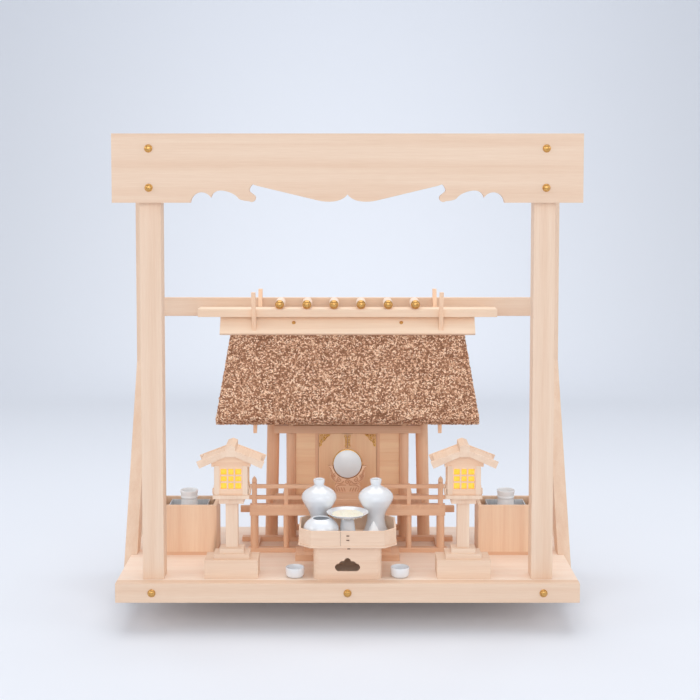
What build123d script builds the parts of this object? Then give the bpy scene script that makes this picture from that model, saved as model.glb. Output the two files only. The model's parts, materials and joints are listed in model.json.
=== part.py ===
import os
from math import atan2, cos, degrees, radians, sin, tan

from build123d import *

os.makedirs("parts", exist_ok=True)

# Household altar: a shelf with a portal frame, and on it a small thatched
# shrine, its mirror, two lanterns, a footed tray with vessels, and two boxes
# that each hold a vase. Millimetres, X to the right, Y to the back, Z up,
# with the origin under the middle of the shelf.

# Shelf and frame
shelf_width = 758.0
shelf_depth = 340.0
shelf_thick = 32.0
front_board_thick = 20.0
post_size = 35.0
post_inset = 42.0
post_setback = 23.0
frame_rise = 731.0
fascia_height = 111.0
fascia_thick = 13.0
back_post_width = 25.0
back_post_depth = 30.0
back_post_rise = 670.0
back_post_overhang = 11.0
brace_width = 22.0
brace_depth = 34.0
brace_foot = 158.0
brace_rise = 321.6
back_rail_rise = 402.0
back_rail_height = 34.0
back_rail_thick = 14.0
top_rail_height = 30.0
stud_dia = 13.0
stud_rim = 1.0
stud_rise = 5.0
stud_edge = 24.0

# Shrine platform, measured from the shelf top
sill_size = 14.0
sill_height = 8.0
front_sill_setback = 173.0
front_sill_reach = 3.0
middle_sill_reach = 19.0
platform_half = 172.0
platform_back = 334.0
strip_depth = 14.0
floor_wing = 30.0
floor_rise = 85.0
floor_thick = 6.5
floor_beam_height = 12.5
floor_beam_depth = 10.0
through_beam_reach = 22.0
through_beam_drop = 21.0
through_beam_height = 11.0
through_beam_depth = 10.0
corner_post_inset = 8.0
corner_post_dia = 14.0
mid_post_offset = 6.0
mid_post_dia = 10.0
post_fit = 0.2

# Railing
newel_dia = 9.0
newel_height = 38.0
finial_dia = 8.5
finial_height = 13.0
rail_height = 6.5
rail_thick = 6.0
top_rail_rise = 28.5
mid_rail_rise = 9.0
rail_reach = 1.0
stair_newel_x = 50.5
baluster_size = 7.0

# Stair
stair_base_half = 90.0
stair_base_setback = 122.0
stair_base_height = 11.0
stair_half = 75.0
stair_upper_half = 46.0
stair_setback = 140.0
stair_steps = 4

# Shrine body
column_inset = 70.0
column_dia = 17.5
front_column_setback = 250.0
back_column_setback = 324.0
column_top_rise = 198.0
ridge_column_inset = 35.0
ridge_column_dia = 22.8
ridge_column_lean = 3.5
eave_beam_reach = 30.0
eave_beam_height = 14.0
eave_beam_depth = 14.0
wall_thick = 6.0
side_wall_thick = 8.0
panel_thick = 4.0
doorway_half = 53.0
jamb_width = 5.0
jamb_depth = 7.0
door_sill_height = 6.5
door_thick = 4.0
door_gap = 0.6
door_proud = 2.0
strip_half = 9.6
strip_thick = 2.4
fitting_thick = 0.6
fitting_size = 19.0
fitting_drop = 22.0
strip_fitting_half = 5.5
strip_fitting_height = 23.0
fitting_inset = 2.0

# Thatched roof
ridge_setback = 287.0
eave_setback = 170.0
eave_rise = 238.0
thatch_apex_rise = 402.0
thatch_thick = 24.0
thatch_half_eave = 232.0
thatch_half_top = 209.0
thatch_back = 338.0
ridge_beam_reach = 27.0
ridge_beam_width = 16.0
ridge_beam_height = 26.0
barge_offset = 26.0
barge_thick = 6.5
barge_drop = 15.0
slope_board_reach = 35.0
slope_board_thick = 6.0
slope_board_gap = 0.4
cover_half = 272.0
cover_width = 40.0
cover_height = 14.4
cover_seat = 4.1
log_dia = 17.5
log_length = 50.0
log_spacing = 49.2
log_count = 6
log_cap_rise = 6.0
log_cap_rim = 1.0
horn_x = 165.5
horn_thick = 7.5
horn_gap = 0.4
horn_width = 8.0
horn_lean = 15.0
horn_top_rise = 453.0

# Mirror
mirror_setback = 175.0
plinth_half = 26.0
plinth_depth = 18.0
plinth_height = 9.0
plinth_top_half = 24.0
plinth_top_depth = 15.0
plinth_top_height = 11.8
stand_thick = 7.0
stand_foot_half = 19.0
mirror_dia = 49.0
mirror_thick = 3.0
mirror_rim_dia = 52.5
mirror_rim_thick = 2.0
mirror_lift = 25.4

# Stone-style lanterns
lantern_setback = 25.0
lantern_base_width = 88.5
lantern_base_depth = 48.0
lantern_base_height = 31.0
lantern_step_width = 59.6
lantern_step_depth = 36.0
lantern_step_height = 8.0
lantern_block_width = 40.0
lantern_block_depth = 27.0
lantern_block_height = 8.5
lantern_shaft_width = 20.0
lantern_shaft_depth = 18.0
lantern_shaft_height = 75.4
lantern_bracket_width = 41.0
lantern_bracket_depth = 30.0
lantern_bracket_height = 9.7
lantern_floor_width = 60.0
lantern_floor_depth = 46.0
lantern_floor_height = 6.3
lantern_body_width = 53.0
lantern_body_depth = 40.0
lantern_body_height = 49.0
lantern_wall = 4.0
lantern_window_width = 34.0
lantern_window_height = 33.4
lantern_window_lift = 10.1
lantern_paper = 1.2
lantern_side_window = 24.0
lantern_roof_pitch = 24.0
lantern_roof_depth = 57.0
lantern_gable_half = 31.5
lantern_plate_height = 5.5
lantern_barge_half = 51.0
lantern_barge_thick = 5.0
lantern_barge_width = 9.9
lantern_barge_tip = 11.8
lantern_boards_half = 49.0
lantern_boards_drop = 1.5
lantern_ridge_width = 16.0
lantern_ridge_rise = 17.6
lantern_ridge_crown = 3.0
lantern_ridge_proud = 0.6

# Footed tray
foot_setback = 20.0
foot_half = 56.3
foot_depth = 85.5
foot_height = 56.0
foot_wall = 3.5
foot_corner = 12.0
foot_hole_width = 41.0
foot_hole_height = 13.0
foot_hole_lift = 14.0
foot_lobe_x = 8.0
foot_lobe_rise = 10.5
foot_lobe_radius = 6.5
foot_crest_rise = 16.5
foot_crest_radius = 5.5
tray_half = 81.5
tray_depth = 109.5
tray_height = 28.0
tray_wall = 3.0
tray_floor = 3.0
tray_corner = 20.0
tray_lip = 1.2

# Vessels, with profiles given as radius and height
bottle_x = 48.0
bottle_back = 27.5
bottle_height = 92.5
bottle_mouth = 9.5
bottle_neck = 8.0
bottle_shoulder = 29.5
bottle_waist = 15.0
bottle_waist_height = 29.0
bottle_shoulder_height = 61.0
bottle_neck_height = 81.5
bottle_lip_height = 86.5
bottle_foot = 23.0
bottle_well = 10.0
bottle_base_thick = 6.0
porcelain = 2.2
dish_setback = 46.5
dish_rim = 35.0
dish_foot = 16.0
dish_stem = 10.5
dish_height = 45.5
dish_stem_height = 35.0
dish_belly = 25.5
dish_belly_height = 39.5
dish_bowl_depth = 8.0
rice_radius = 26.0
rice_rise = 3.5
rice_edge_height = 42.3
jar_x = 43.8
jar_setback = 34.0
jar_radius = 29.3
jar_belly_height = 19.5
jar_mouth = 14.5
jar_foot = 15.0
jar_height = 38.5
salt_x = 43.0
salt_setback = 31.5
salt_radius = 26.5
salt_dish_height = 8.0
salt_foot = 16.0
salt_cone_radius = 15.5
salt_cone_height = 33.0
cup_x = 87.0
cup_setback = 38.0
cup_radius = 15.7
cup_foot = 11.0
cup_height = 16.5

# Vase boxes
box_gap_share = 0.6
box_width = 103.0
box_depth = 70.0
box_height = 88.0
box_wall = 6.0
box_floor = 6.0
box_setback = 158.0
liner_width = 68.0
liner_depth = 52.0
liner_height = 78.0
liner_wall = 1.5
vase_rim = 16.0
vase_neck = 14.2
vase_belly = 17.5
vase_foot = 13.0
vase_height = 100.0

# Levels and planes worked out from the sizes above
shelf_half = shelf_width / 2
front = -shelf_depth / 2
back = shelf_depth / 2
deck = shelf_thick
both_sides = (-1, 1)
front_sill_half = platform_half + front_sill_reach
middle_sill_half = platform_half + middle_sill_reach
through_beam_half = platform_half + through_beam_reach
corner_post_x = platform_half - corner_post_inset
rail_end = platform_half + rail_reach
column_x = platform_half - column_inset
mid_post_x = column_x + mid_post_offset
eave_beam_half = column_x + eave_beam_reach
ridge_column_x = platform_half - ridge_column_inset
barge_x = ridge_column_x + barge_offset
ridge_beam_half = barge_x + ridge_beam_reach
slope_board_half = thatch_half_eave


def block(x_span, y_span, z_span, mode=Mode.ADD):
    """A box between two limits along each axis."""
    spans = (x_span, y_span, z_span)
    size = [high - low for low, high in spans]
    middle = tuple((high + low) / 2 for low, high in spans)
    with Locations(middle):
        Box(*size, mode=mode)


def round_post(x, y, z, diameter, height, mode=Mode.ADD):
    """An upright cylinder standing on the height z."""
    with Locations((x, y, z)):
        Cylinder(diameter / 2, height, align=(Align.CENTER, Align.CENTER, Align.MIN), mode=mode)


def span(side, near, far):
    """Limits along X of a piece between two distances from the middle."""
    return (min(side * near, side * far), max(side * near, side * far))


def section_plane(x, y, z):
    """An upright plane that faces the front, with its own origin."""
    return Plane(origin=(x, y, z), x_dir=(1, 0, 0), z_dir=(0, -1, 0))


def revolve_profile(x, y):
    """Revolves the pending face about the upright line through x, y."""
    revolve(axis=Axis((x, y, 0), (0, 0, 1)))


def dome(radius, rim, rise):
    """Half profile of a domed stud head, from its seat to its crown."""
    with BuildSketch() as profile:
        with BuildLine():
            Line((0, 0), (radius, 0))
            Line((radius, 0), (radius, rim))
            TangentArc((0, rise), (radius, rim), tangent=(1, 0))
            Line((0, rise), (0, 0))
        make_face()
    return profile.sketch


# Shelf
with BuildPart() as shelf_board:
    block((-shelf_half, shelf_half), (front + front_board_thick, back), (0, deck))
shelf_board.part.label = "shelf_board"
export_step(shelf_board.part, "parts/shelf_board.step")

with BuildPart() as shelf_front_board:
    block((-shelf_half, shelf_half), (front, front + front_board_thick), (0, deck))
shelf_front_board.part.label = "shelf_front_board"
export_step(shelf_front_board.part, "parts/shelf_front_board.step")

# Front posts, back posts, braces and the rails that tie them
post_outer = shelf_half - post_inset
post_inner = post_outer - post_size
post_middle = (post_outer + post_inner) / 2
post_front = front + post_setback
frame_top = deck + frame_rise
back_post_outer = shelf_half + back_post_overhang
back_post_inner = back_post_outer - back_post_width
back_post_front = back - back_post_depth
back_post_top = deck + back_post_rise
brace_inner = back_post_outer - brace_width
brace_front = front + brace_foot
brace_slope = brace_rise / (back_post_front - brace_front)

# The lanterns stand between the tray and the posts, the boxes between shrine and braces
lantern_x = (tray_half + post_inner) / 2
box_room = brace_inner - front_sill_half - box_width
box_x = front_sill_half + box_gap_share * box_room + box_width / 2

with BuildPart() as front_posts:
    for sign in both_sides:
        block(span(sign, post_inner, post_outer), (post_front, post_front + post_size), (deck, frame_top))
front_posts.part.label = "front_posts"
export_step(front_posts.part, "parts/front_posts.step")

with BuildPart() as back_posts:
    for sign in both_sides:
        block(span(sign, back_post_inner, back_post_outer), (back_post_front, back), (0, back_post_top))
        block(span(sign, back_post_inner, shelf_half), (back_post_front, back), (0, deck), mode=Mode.SUBTRACT)
back_posts.part.label = "back_posts"
export_step(back_posts.part, "parts/back_posts.step")

# A brace leans back against its post, and its outer half laps the shelf's end
with BuildPart() as braces:
    for sign in both_sides:
        with BuildSketch(Plane.YZ.offset(min(sign * brace_inner, sign * back_post_outer))):
            with BuildLine():
                Polyline(
                    (brace_front - deck / brace_slope, 0),
                    (brace_front + brace_depth - deck / brace_slope, 0),
                    (back_post_front, deck + brace_rise - brace_depth * brace_slope),
                    (back_post_front, deck + brace_rise),
                    close=True,
                )
            make_face()
        extrude(amount=brace_width)
        block(span(sign, brace_inner, shelf_half), (front, back), (0, deck), mode=Mode.SUBTRACT)
braces.part.label = "braces"
export_step(braces.part, "parts/braces.step")

# One rail behind the roof, and one from each front post to its back post
with BuildPart() as tie_rails:
    for sign in both_sides:
        block(
            span(sign, post_outer, back_post_inner),
            (post_front, back),
            (back_post_top - top_rail_height, back_post_top),
        )
    block(
        (-back_post_inner, back_post_inner),
        (back - back_rail_thick, back),
        (deck + back_rail_rise, deck + back_rail_rise + back_rail_height),
    )
tie_rails.part.label = "tie_rails"
export_step(tie_rails.part, "parts/tie_rails.step")

# Front board with its cloud-shaped lower edge, drawn for one half and mirrored.
# Heights are above the board's straight lower edge.
fascia_bottom = frame_top - fascia_height
fascia_front = post_front - fascia_thick
cloud_start = (252.5, 0)
outer_crest = (237, 16.6)
outer_cusp = (219.7, 8.3)
inner_crest = (203, 19.6)
tongue_neck = (178, 10.0)
tongue_foot = (157.6, 2.3)
tongue_tip = (147.8, 7.5)
slot_side = (157.8, 20.5)
slot_top = (153.2, 28.9)
slope_start = (143.4, 26.7)
slope_end = (47.3, 3.6)
belly = (29, 1.6)
centre_cusp = (0, 13.5)

with BuildPart() as fascia_board:
    with BuildSketch(section_plane(0, post_front, fascia_bottom)):
        with BuildLine():
            Line((0, fascia_height), (shelf_half, fascia_height))
            Line((shelf_half, fascia_height), (shelf_half, 0))
            Line((shelf_half, 0), cloud_start)
            ThreePointArc(cloud_start, outer_crest, outer_cusp)
            Spline(outer_cusp, inner_crest, tongue_neck, tongue_foot, tangents=((-0.3, 1), (-1, -0.1)))
            ThreePointArc(tongue_foot, tongue_tip, (tongue_tip[0] + 1.5, tongue_tip[1] + 4))
            Spline(
                (tongue_tip[0] + 1.5, tongue_tip[1] + 4),
                slot_side,
                slot_top,
                slope_start,
                tangents=((1, 0.9), (-1, -0.25)),
            )
            Line(slope_start, slope_end)
            Spline(slope_end, belly, centre_cusp, tangents=((-1, -0.24), (-0.7, 1)))
            mirror(about=Plane.YZ)
        make_face()
    extrude(amount=fascia_thick)
fascia_board.part.label = "fascia_board"
export_step(fascia_board.part, "parts/fascia_board.step")

# Gilt domed studs on the front board and the shelf's edge
with BuildPart() as stud_head:
    with BuildSketch(Plane.XZ):
        add(dome(stud_dia / 2, stud_rim, stud_rise))
    revolve(axis=Axis.Z)

facing_front = (90, 0, 0)
fascia_stud_heights = (fascia_bottom + stud_edge, frame_top - stud_edge)
with BuildPart() as frame_studs:
    for stud_z in fascia_stud_heights:
        with Locations(*[Location((sign * post_middle, fascia_front, stud_z), facing_front) for sign in both_sides]):
            add(stud_head.part)
    with Locations(*[Location((step * post_middle, front, deck / 2), facing_front) for step in (-1, 0, 1)]):
        add(stud_head.part)
frame_studs.part.label = "frame_studs"
export_step(frame_studs.part, "parts/frame_studs.step")

# Sills and beams under the veranda: those that run across, then front to back
sill_top = deck + sill_height
sill_front = front + front_sill_setback
column_front_y = front + front_column_setback
column_back_y = front + back_column_setback
corner_post_y = sill_front + sill_size / 2
floor_top = deck + floor_rise
floor_bottom = floor_top - floor_thick
beam_bottom = floor_bottom - floor_beam_height
platform_front = sill_front
platform_end = front + platform_back
wing_half = column_x + floor_wing
shrine_floor_half = column_x + column_dia / 2 + floor_thick
cross_sill_rows = (
    (corner_post_y, front_sill_half),
    (column_front_y, middle_sill_half),
    (column_back_y, shrine_floor_half),
)

through_top = floor_top - through_beam_drop

with BuildPart() as cross_beams:
    for row_y, half in cross_sill_rows:
        block((-half, half), (row_y - sill_size / 2, row_y + sill_size / 2), (deck, sill_top))
    block(
        (-platform_half, platform_half),
        (platform_front, platform_front + floor_beam_depth),
        (beam_bottom, floor_bottom),
    )
    for sign in both_sides:
        block(
            span(sign, column_x + column_dia / 2, through_beam_half),
            (column_front_y - through_beam_depth / 2, column_front_y + through_beam_depth / 2),
            (through_top - through_beam_height, through_top),
        )
cross_beams.part.label = "cross_beams"
export_step(cross_beams.part, "parts/cross_beams.step")

front_bay = (corner_post_y + sill_size / 2, column_front_y - sill_size / 2)
joist_bay = (platform_front + floor_beam_depth, column_front_y - column_dia / 2)
with BuildPart() as side_beams:
    for sign in both_sides:
        block(
            span(sign, corner_post_x - sill_size / 2, corner_post_x + sill_size / 2),
            front_bay,
            (deck, sill_top),
        )
        block(
            span(sign, mid_post_x - mid_post_dia / 2, mid_post_x + mid_post_dia / 2),
            joist_bay,
            (beam_bottom, floor_bottom),
        )
side_beams.part.label = "side_beams"
export_step(side_beams.part, "parts/side_beams.step")

# Posts and floor of the veranda
with BuildPart() as platform_posts:
    for sign in both_sides:
        round_post(sign * corner_post_x, corner_post_y, sill_top, corner_post_dia, beam_bottom - sill_top)
        round_post(sign * mid_post_x, corner_post_y, sill_top, mid_post_dia, beam_bottom - sill_top)
platform_posts.part.label = "platform_posts"
export_step(platform_posts.part, "parts/platform_posts.step")

column_places = [(sign * column_x, y) for sign in both_sides for y in (column_front_y, column_back_y)]
ridge_y = front + ridge_setback
eave_y = front + eave_setback
apex_z = deck + thatch_apex_rise
eave_z = deck + eave_rise
pitch = atan2(apex_z - eave_z, ridge_y - eave_y)
thatch_plumb = thatch_thick / cos(pitch)
inner_apex_z = apex_z - thatch_plumb
ridge_beam_bottom = inner_apex_z - ridge_beam_height
ridge_column_height = ridge_beam_bottom - deck


def roof_z(y, apex):
    """Height of a roof surface with this apex, at the depth y."""
    return apex - abs(ridge_y - y) * tan(pitch)


def column_shift(z):
    """How far outside its middle place the leaning column stands at z."""
    return ridge_column_lean * (1 - 2 * (z - deck) / ridge_column_height)


# The floor is widest along the front, and narrow where the shrine stands on it
strip_back = platform_front + strip_depth
wing_back = column_front_y + floor_thick
with BuildPart() as veranda_floor:
    block((-platform_half, platform_half), (platform_front, strip_back), (floor_bottom, floor_top))
    block((-wing_half, wing_half), (strip_back, wing_back), (floor_bottom, floor_top))
    block((-shrine_floor_half, shrine_floor_half), (wing_back, platform_end), (floor_bottom, floor_top))
    for column_place in column_places:
        round_post(*column_place, floor_bottom, column_dia + 2 * post_fit, floor_thick, mode=Mode.SUBTRACT)
veranda_floor.part.label = "veranda_floor"
export_step(veranda_floor.part, "parts/veranda_floor.step")

# Railings: a run on each side of the stair, with a finial on the corner newel
newel_top = floor_top + newel_height
top_rail_z = floor_top + top_rail_rise
mid_rail_z = floor_top + mid_rail_rise

with BuildPart() as finial:
    with BuildSketch(Plane.XZ):
        with BuildLine():
            Line((0, 0), (finial_dia * 0.3, 0))
            Spline(
                (finial_dia * 0.3, 0),
                (finial_dia * 0.5, finial_height * 0.35),
                (finial_dia * 0.3, finial_height * 0.72),
                (0, finial_height),
                tangents=((1, 0.3), (-0.25, 1)),
            )
            Line((0, finial_height), (0, 0))
        make_face()
    revolve(axis=Axis.Z)


def rail_pair(x_span, y_span):
    """The middle and the top rail of one run."""
    for rail_z in (mid_rail_z, top_rail_z):
        block(x_span, y_span, (rail_z, rail_z + rail_height))


with BuildPart() as front_railings:
    for sign in both_sides:
        round_post(sign * corner_post_x, corner_post_y, floor_top, newel_dia, newel_height)
        with Locations((sign * corner_post_x, corner_post_y, newel_top)):
            add(finial.part)
        rail_pair(
            span(sign, stair_newel_x, rail_end),
            (corner_post_y - rail_thick / 2, corner_post_y + rail_thick / 2),
        )
        for baluster_x in (stair_newel_x, mid_post_x):
            block(
                span(sign, baluster_x - baluster_size / 2, baluster_x + baluster_size / 2),
                (corner_post_y - baluster_size / 2, corner_post_y + baluster_size / 2),
                (floor_top, top_rail_z),
            )
front_railings.part.label = "front_railings"
export_step(front_railings.part, "parts/front_railings.step")

# Stair: a wide low block, and the flight on it
stair_base_top = deck + stair_base_height
stair_front = front + stair_setback
riser = (floor_top - stair_base_top) / (stair_steps + 1)
going = (platform_front - stair_front) / stair_steps
with BuildPart() as stair:
    block(
        (-stair_base_half, stair_base_half),
        (front + stair_base_setback, sill_front),
        (deck, stair_base_top),
    )
    for step in range(stair_steps):
        step_half = stair_upper_half if step else stair_half
        block(
            (-step_half, step_half),
            (stair_front + step * going, platform_front),
            (stair_base_top + step * riser, stair_base_top + (step + 1) * riser),
        )
stair.part.label = "stair"
export_step(stair.part, "parts/stair.step")

# Columns
column_top = deck + column_top_rise
with BuildPart() as corner_columns:
    for column_place in column_places:
        round_post(*column_place, sill_top, column_dia, column_top - sill_top)
corner_columns.part.label = "corner_columns"
export_step(corner_columns.part, "parts/corner_columns.step")

with BuildPart() as ridge_columns:
    for sign in both_sides:
        with BuildSketch(Plane.XY.offset(deck)):
            with Locations((sign * (ridge_column_x + column_shift(deck)), ridge_y)):
                Circle(ridge_column_dia / 2)
        with BuildSketch(Plane.XY.offset(ridge_beam_bottom)):
            with Locations((sign * (ridge_column_x + column_shift(ridge_beam_bottom)), ridge_y)):
                Circle(ridge_column_dia / 2)
        loft()
ridge_columns.part.label = "ridge_columns"
export_step(ridge_columns.part, "parts/ridge_columns.step")

# Eave beams on the columns, and the ridge beam with its top cut to the roof
eave_beam_top = column_top + eave_beam_height
with BuildPart() as eave_beams:
    for beam_y in (column_front_y, column_back_y):
        block(
            (-eave_beam_half, eave_beam_half),
            (beam_y - eave_beam_depth / 2, beam_y + eave_beam_depth / 2),
            (column_top, eave_beam_top),
        )
eave_beams.part.label = "eave_beams"
export_step(eave_beams.part, "parts/eave_beams.step")

beam_half_width = ridge_beam_width / 2
beam_shoulder_z = roof_z(ridge_y - beam_half_width, inner_apex_z)
with BuildPart() as ridge_beam:
    with BuildSketch(Plane.YZ.offset(-ridge_beam_half)):
        with BuildLine():
            Polyline(
                (ridge_y - beam_half_width, ridge_beam_bottom),
                (ridge_y + beam_half_width, ridge_beam_bottom),
                (ridge_y + beam_half_width, beam_shoulder_z),
                (ridge_y, inner_apex_z),
                (ridge_y - beam_half_width, beam_shoulder_z),
                close=True,
            )
        make_face()
    extrude(amount=2 * ridge_beam_half)
ridge_beam.part.label = "ridge_beam"
export_step(ridge_beam.part, "parts/ridge_beam.step")

# Walls: boards between the columns, and gables up to the thatch
wall_front = column_front_y - wall_thick / 2
wall_back = column_back_y + wall_thick / 2
column_inner_x = column_x - column_dia / 2
gable_front = column_front_y - eave_beam_depth / 2
gable_back = column_back_y + eave_beam_depth / 2
side_wall_inner = column_x - side_wall_thick / 2

with BuildPart() as side_walls:
    for sign in both_sides:
        with BuildSketch(Plane.YZ.offset(sign * column_x - side_wall_thick / 2)):
            with BuildLine():
                Polyline(
                    (column_front_y + column_dia / 2, floor_top),
                    (column_back_y - column_dia / 2, floor_top),
                    (column_back_y - column_dia / 2, eave_beam_top),
                    (gable_back, eave_beam_top),
                    (gable_back, roof_z(gable_back, inner_apex_z)),
                    (ridge_y + beam_half_width, beam_shoulder_z),
                    (ridge_y + beam_half_width, ridge_beam_bottom),
                    (ridge_y - beam_half_width, ridge_beam_bottom),
                    (ridge_y - beam_half_width, beam_shoulder_z),
                    (gable_front, roof_z(gable_front, inner_apex_z)),
                    (gable_front, eave_beam_top),
                    (column_front_y + column_dia / 2, eave_beam_top),
                    close=True,
                )
            make_face()
        extrude(amount=side_wall_thick)
side_walls.part.label = "side_walls"
export_step(side_walls.part, "parts/side_walls.step")

jamb_outer = doorway_half + jamb_width


def upper_board(wall_y):
    """The board over an eave beam, with its top cut to the thatch."""
    near_z = roof_z(wall_y, inner_apex_z)
    far_z = roof_z(wall_y + wall_thick, inner_apex_z)
    with BuildSketch(Plane.YZ.offset(-side_wall_inner)) as outline:
        with BuildLine():
            Polyline(
                (wall_y, eave_beam_top),
                (wall_y + wall_thick, eave_beam_top),
                (wall_y + wall_thick, far_z),
                (wall_y, near_z),
                close=True,
            )
        make_face()
    extrude(outline.sketch, amount=2 * side_wall_inner)


with BuildPart() as back_walls:
    block(
        (-column_inner_x, column_inner_x),
        (wall_back - wall_thick, wall_back),
        (floor_top, column_top),
    )
    upper_board(wall_back - wall_thick)
back_walls.part.label = "back_walls"
export_step(back_walls.part, "parts/back_walls.step")

with BuildPart() as front_walls:
    for sign in both_sides:
        block(
            span(sign, jamb_outer, column_inner_x),
            (column_front_y - panel_thick / 2, column_front_y + panel_thick / 2),
            (floor_top, column_top),
        )
    upper_board(wall_front)
front_walls.part.label = "front_walls"
export_step(front_walls.part, "parts/front_walls.step")

# Door frame, and two leaves that each carry half of the middle strip
door_sill_top = floor_top + door_sill_height
with BuildPart() as door_frame:
    block(
        (-jamb_outer, jamb_outer),
        (wall_front - door_proud, wall_front + jamb_depth),
        (floor_top, door_sill_top),
    )
    for sign in both_sides:
        block(
            span(sign, doorway_half, jamb_outer),
            (wall_front, wall_front + jamb_depth),
            (door_sill_top, column_top),
        )
door_frame.part.label = "door_frame"
export_step(door_frame.part, "parts/door_frame.step")

door_front = wall_front - door_proud
door_bottom = door_sill_top + door_gap
door_top = column_top - door_gap
door_outer = doorway_half - door_gap
door_inner = door_gap / 2
for side, sign in (("left", -1), ("right", 1)):
    with BuildPart() as door:
        block(
            span(sign, door_inner, door_outer),
            (door_front, door_front + door_thick),
            (door_bottom, door_top),
        )
        block(
            span(sign, door_inner, strip_half),
            (door_front - strip_thick, door_front),
            (door_bottom, door_top),
        )
    door.part.label = f"{side}_door"
    export_step(door.part, f"parts/{side}_door.step")

    # Gilt corner plate on the leaf and half of the plate on the middle strip
    corner_x = door_outer - fitting_inset
    corner_z = door_top - fitting_inset
    with BuildPart() as door_fittings:
        with BuildSketch(Plane.XZ.offset(-door_front)):
            with BuildLine():
                Polyline(
                    (sign * corner_x, corner_z),
                    (sign * (corner_x - fitting_size), corner_z),
                    (sign * (corner_x - fitting_size / 3), corner_z - fitting_drop / 3),
                    (sign * corner_x, corner_z - fitting_drop),
                    close=True,
                )
            make_face()
        extrude(amount=fitting_thick)
        block(
            span(sign, door_inner, strip_fitting_half),
            (door_front - strip_thick - fitting_thick, door_front - strip_thick),
            (corner_z - strip_fitting_height, corner_z),
        )
    door_fittings.part.label = f"{side}_door_fittings"
    export_step(door_fittings.part, f"parts/{side}_door_fittings.step")

# Thatch: a front and a shorter back slope, with ends that lean in
eave_lower = (eave_y + thatch_thick * sin(pitch), eave_z - thatch_thick * cos(pitch))
thatch_end_y = front + thatch_back


def end_cut(sign):
    """Cuts one end of the thatch to its slanted plane."""
    with BuildSketch(Plane.XZ.offset(-back)) as beyond:
        with BuildLine():
            Polyline(
                (sign * thatch_half_eave, eave_lower[1]),
                (sign * thatch_half_top, apex_z),
                (sign * (thatch_half_eave + thatch_thick), apex_z),
                (sign * (thatch_half_eave + thatch_thick), eave_lower[1]),
                close=True,
            )
        make_face()
    extrude(beyond.sketch, amount=shelf_depth, mode=Mode.SUBTRACT)


with BuildPart() as front_thatch:
    with BuildSketch(Plane.YZ.offset(-thatch_half_eave)):
        with BuildLine():
            Polyline(
                (eave_y, eave_z),
                eave_lower,
                (ridge_y, inner_apex_z),
                (ridge_y, apex_z),
                close=True,
            )
        make_face()
    extrude(amount=2 * thatch_half_eave)
    end_cut(-1)
    end_cut(1)
front_thatch.part.label = "front_thatch"
export_step(front_thatch.part, "parts/front_thatch.step")

with BuildPart() as back_thatch:
    with BuildSketch(Plane.YZ.offset(-thatch_half_eave)):
        with BuildLine():
            Polyline(
                (ridge_y, inner_apex_z),
                (thatch_end_y, roof_z(thatch_end_y, inner_apex_z)),
                (thatch_end_y, roof_z(thatch_end_y, apex_z)),
                (ridge_y, apex_z),
                close=True,
            )
        make_face()
    extrude(amount=2 * thatch_half_eave)
    end_cut(-1)
    end_cut(1)
back_thatch.part.label = "back_thatch"
export_step(back_thatch.part, "parts/back_thatch.step")


def barge_run(y_far):
    """A pair of bargeboards under the thatch, from the ridge beam to y_far."""
    y_near = ridge_y - beam_half_width if y_far < ridge_y else ridge_y + beam_half_width
    for sign in both_sides:
        with BuildSketch(Plane.YZ.offset(sign * barge_x - barge_thick / 2)) as board:
            with BuildLine():
                Polyline(
                    (y_near, roof_z(y_near, inner_apex_z)),
                    (y_far, roof_z(y_far, inner_apex_z)),
                    (y_far, roof_z(y_far, inner_apex_z) - barge_drop),
                    (y_near, roof_z(y_near, inner_apex_z) - barge_drop),
                    close=True,
                )
            make_face()
        extrude(board.sketch, amount=barge_thick)


with BuildPart() as bargeboards:
    barge_run(eave_lower[0])
    barge_run(thatch_end_y)
bargeboards.part.label = "bargeboards"
export_step(bargeboards.part, "parts/bargeboards.step")

# Ridge: two sloping boards, the cover on them, logs with gilt caps, and horns
board_apex_z = apex_z + slope_board_thick / cos(pitch)
cover_bottom = board_apex_z - cover_seat * tan(pitch)
cover_top = cover_bottom + cover_height
cover_front = ridge_y - cover_width / 2
board_run = slope_board_reach * cos(pitch)
board_face_run = board_run + slope_board_thick * sin(pitch)
with BuildPart() as ridge_slope_boards:
    for way in (-1, 1):
        joint_y = ridge_y + way * slope_board_gap / 2
        with BuildSketch(Plane.YZ.offset(-slope_board_half)):
            with BuildLine():
                Polyline(
                    (joint_y, roof_z(joint_y, apex_z)),
                    (joint_y, cover_bottom),
                    (ridge_y + way * cover_seat, cover_bottom),
                    (ridge_y + way * board_face_run, board_apex_z - board_face_run * tan(pitch)),
                    (ridge_y + way * board_run, apex_z - board_run * tan(pitch)),
                    close=True,
                )
            make_face()
        extrude(amount=2 * slope_board_half)
ridge_slope_boards.part.label = "ridge_slope_boards"
export_step(ridge_slope_boards.part, "parts/ridge_slope_boards.step")

with BuildPart() as ridge_cover:
    block(
        (-cover_half, cover_half),
        (cover_front, cover_front + cover_width),
        (cover_bottom, cover_top),
    )
ridge_cover.part.label = "ridge_cover"
export_step(ridge_cover.part, "parts/ridge_cover.step")

log_z = cover_top + log_dia / 2
log_xs = [(index - (log_count - 1) / 2) * log_spacing for index in range(log_count)]
with BuildPart() as ridge_logs:
    with Locations(*[Location((x, ridge_y, log_z), facing_front) for x in log_xs]):
        Cylinder(log_dia / 2, log_length)
ridge_logs.part.label = "ridge_logs"
export_step(ridge_logs.part, "parts/ridge_logs.step")

with BuildPart() as log_cap:
    with BuildSketch(Plane.XZ):
        add(dome(log_dia / 2, log_cap_rim, log_cap_rise))
    revolve(axis=Axis.Z)

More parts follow.
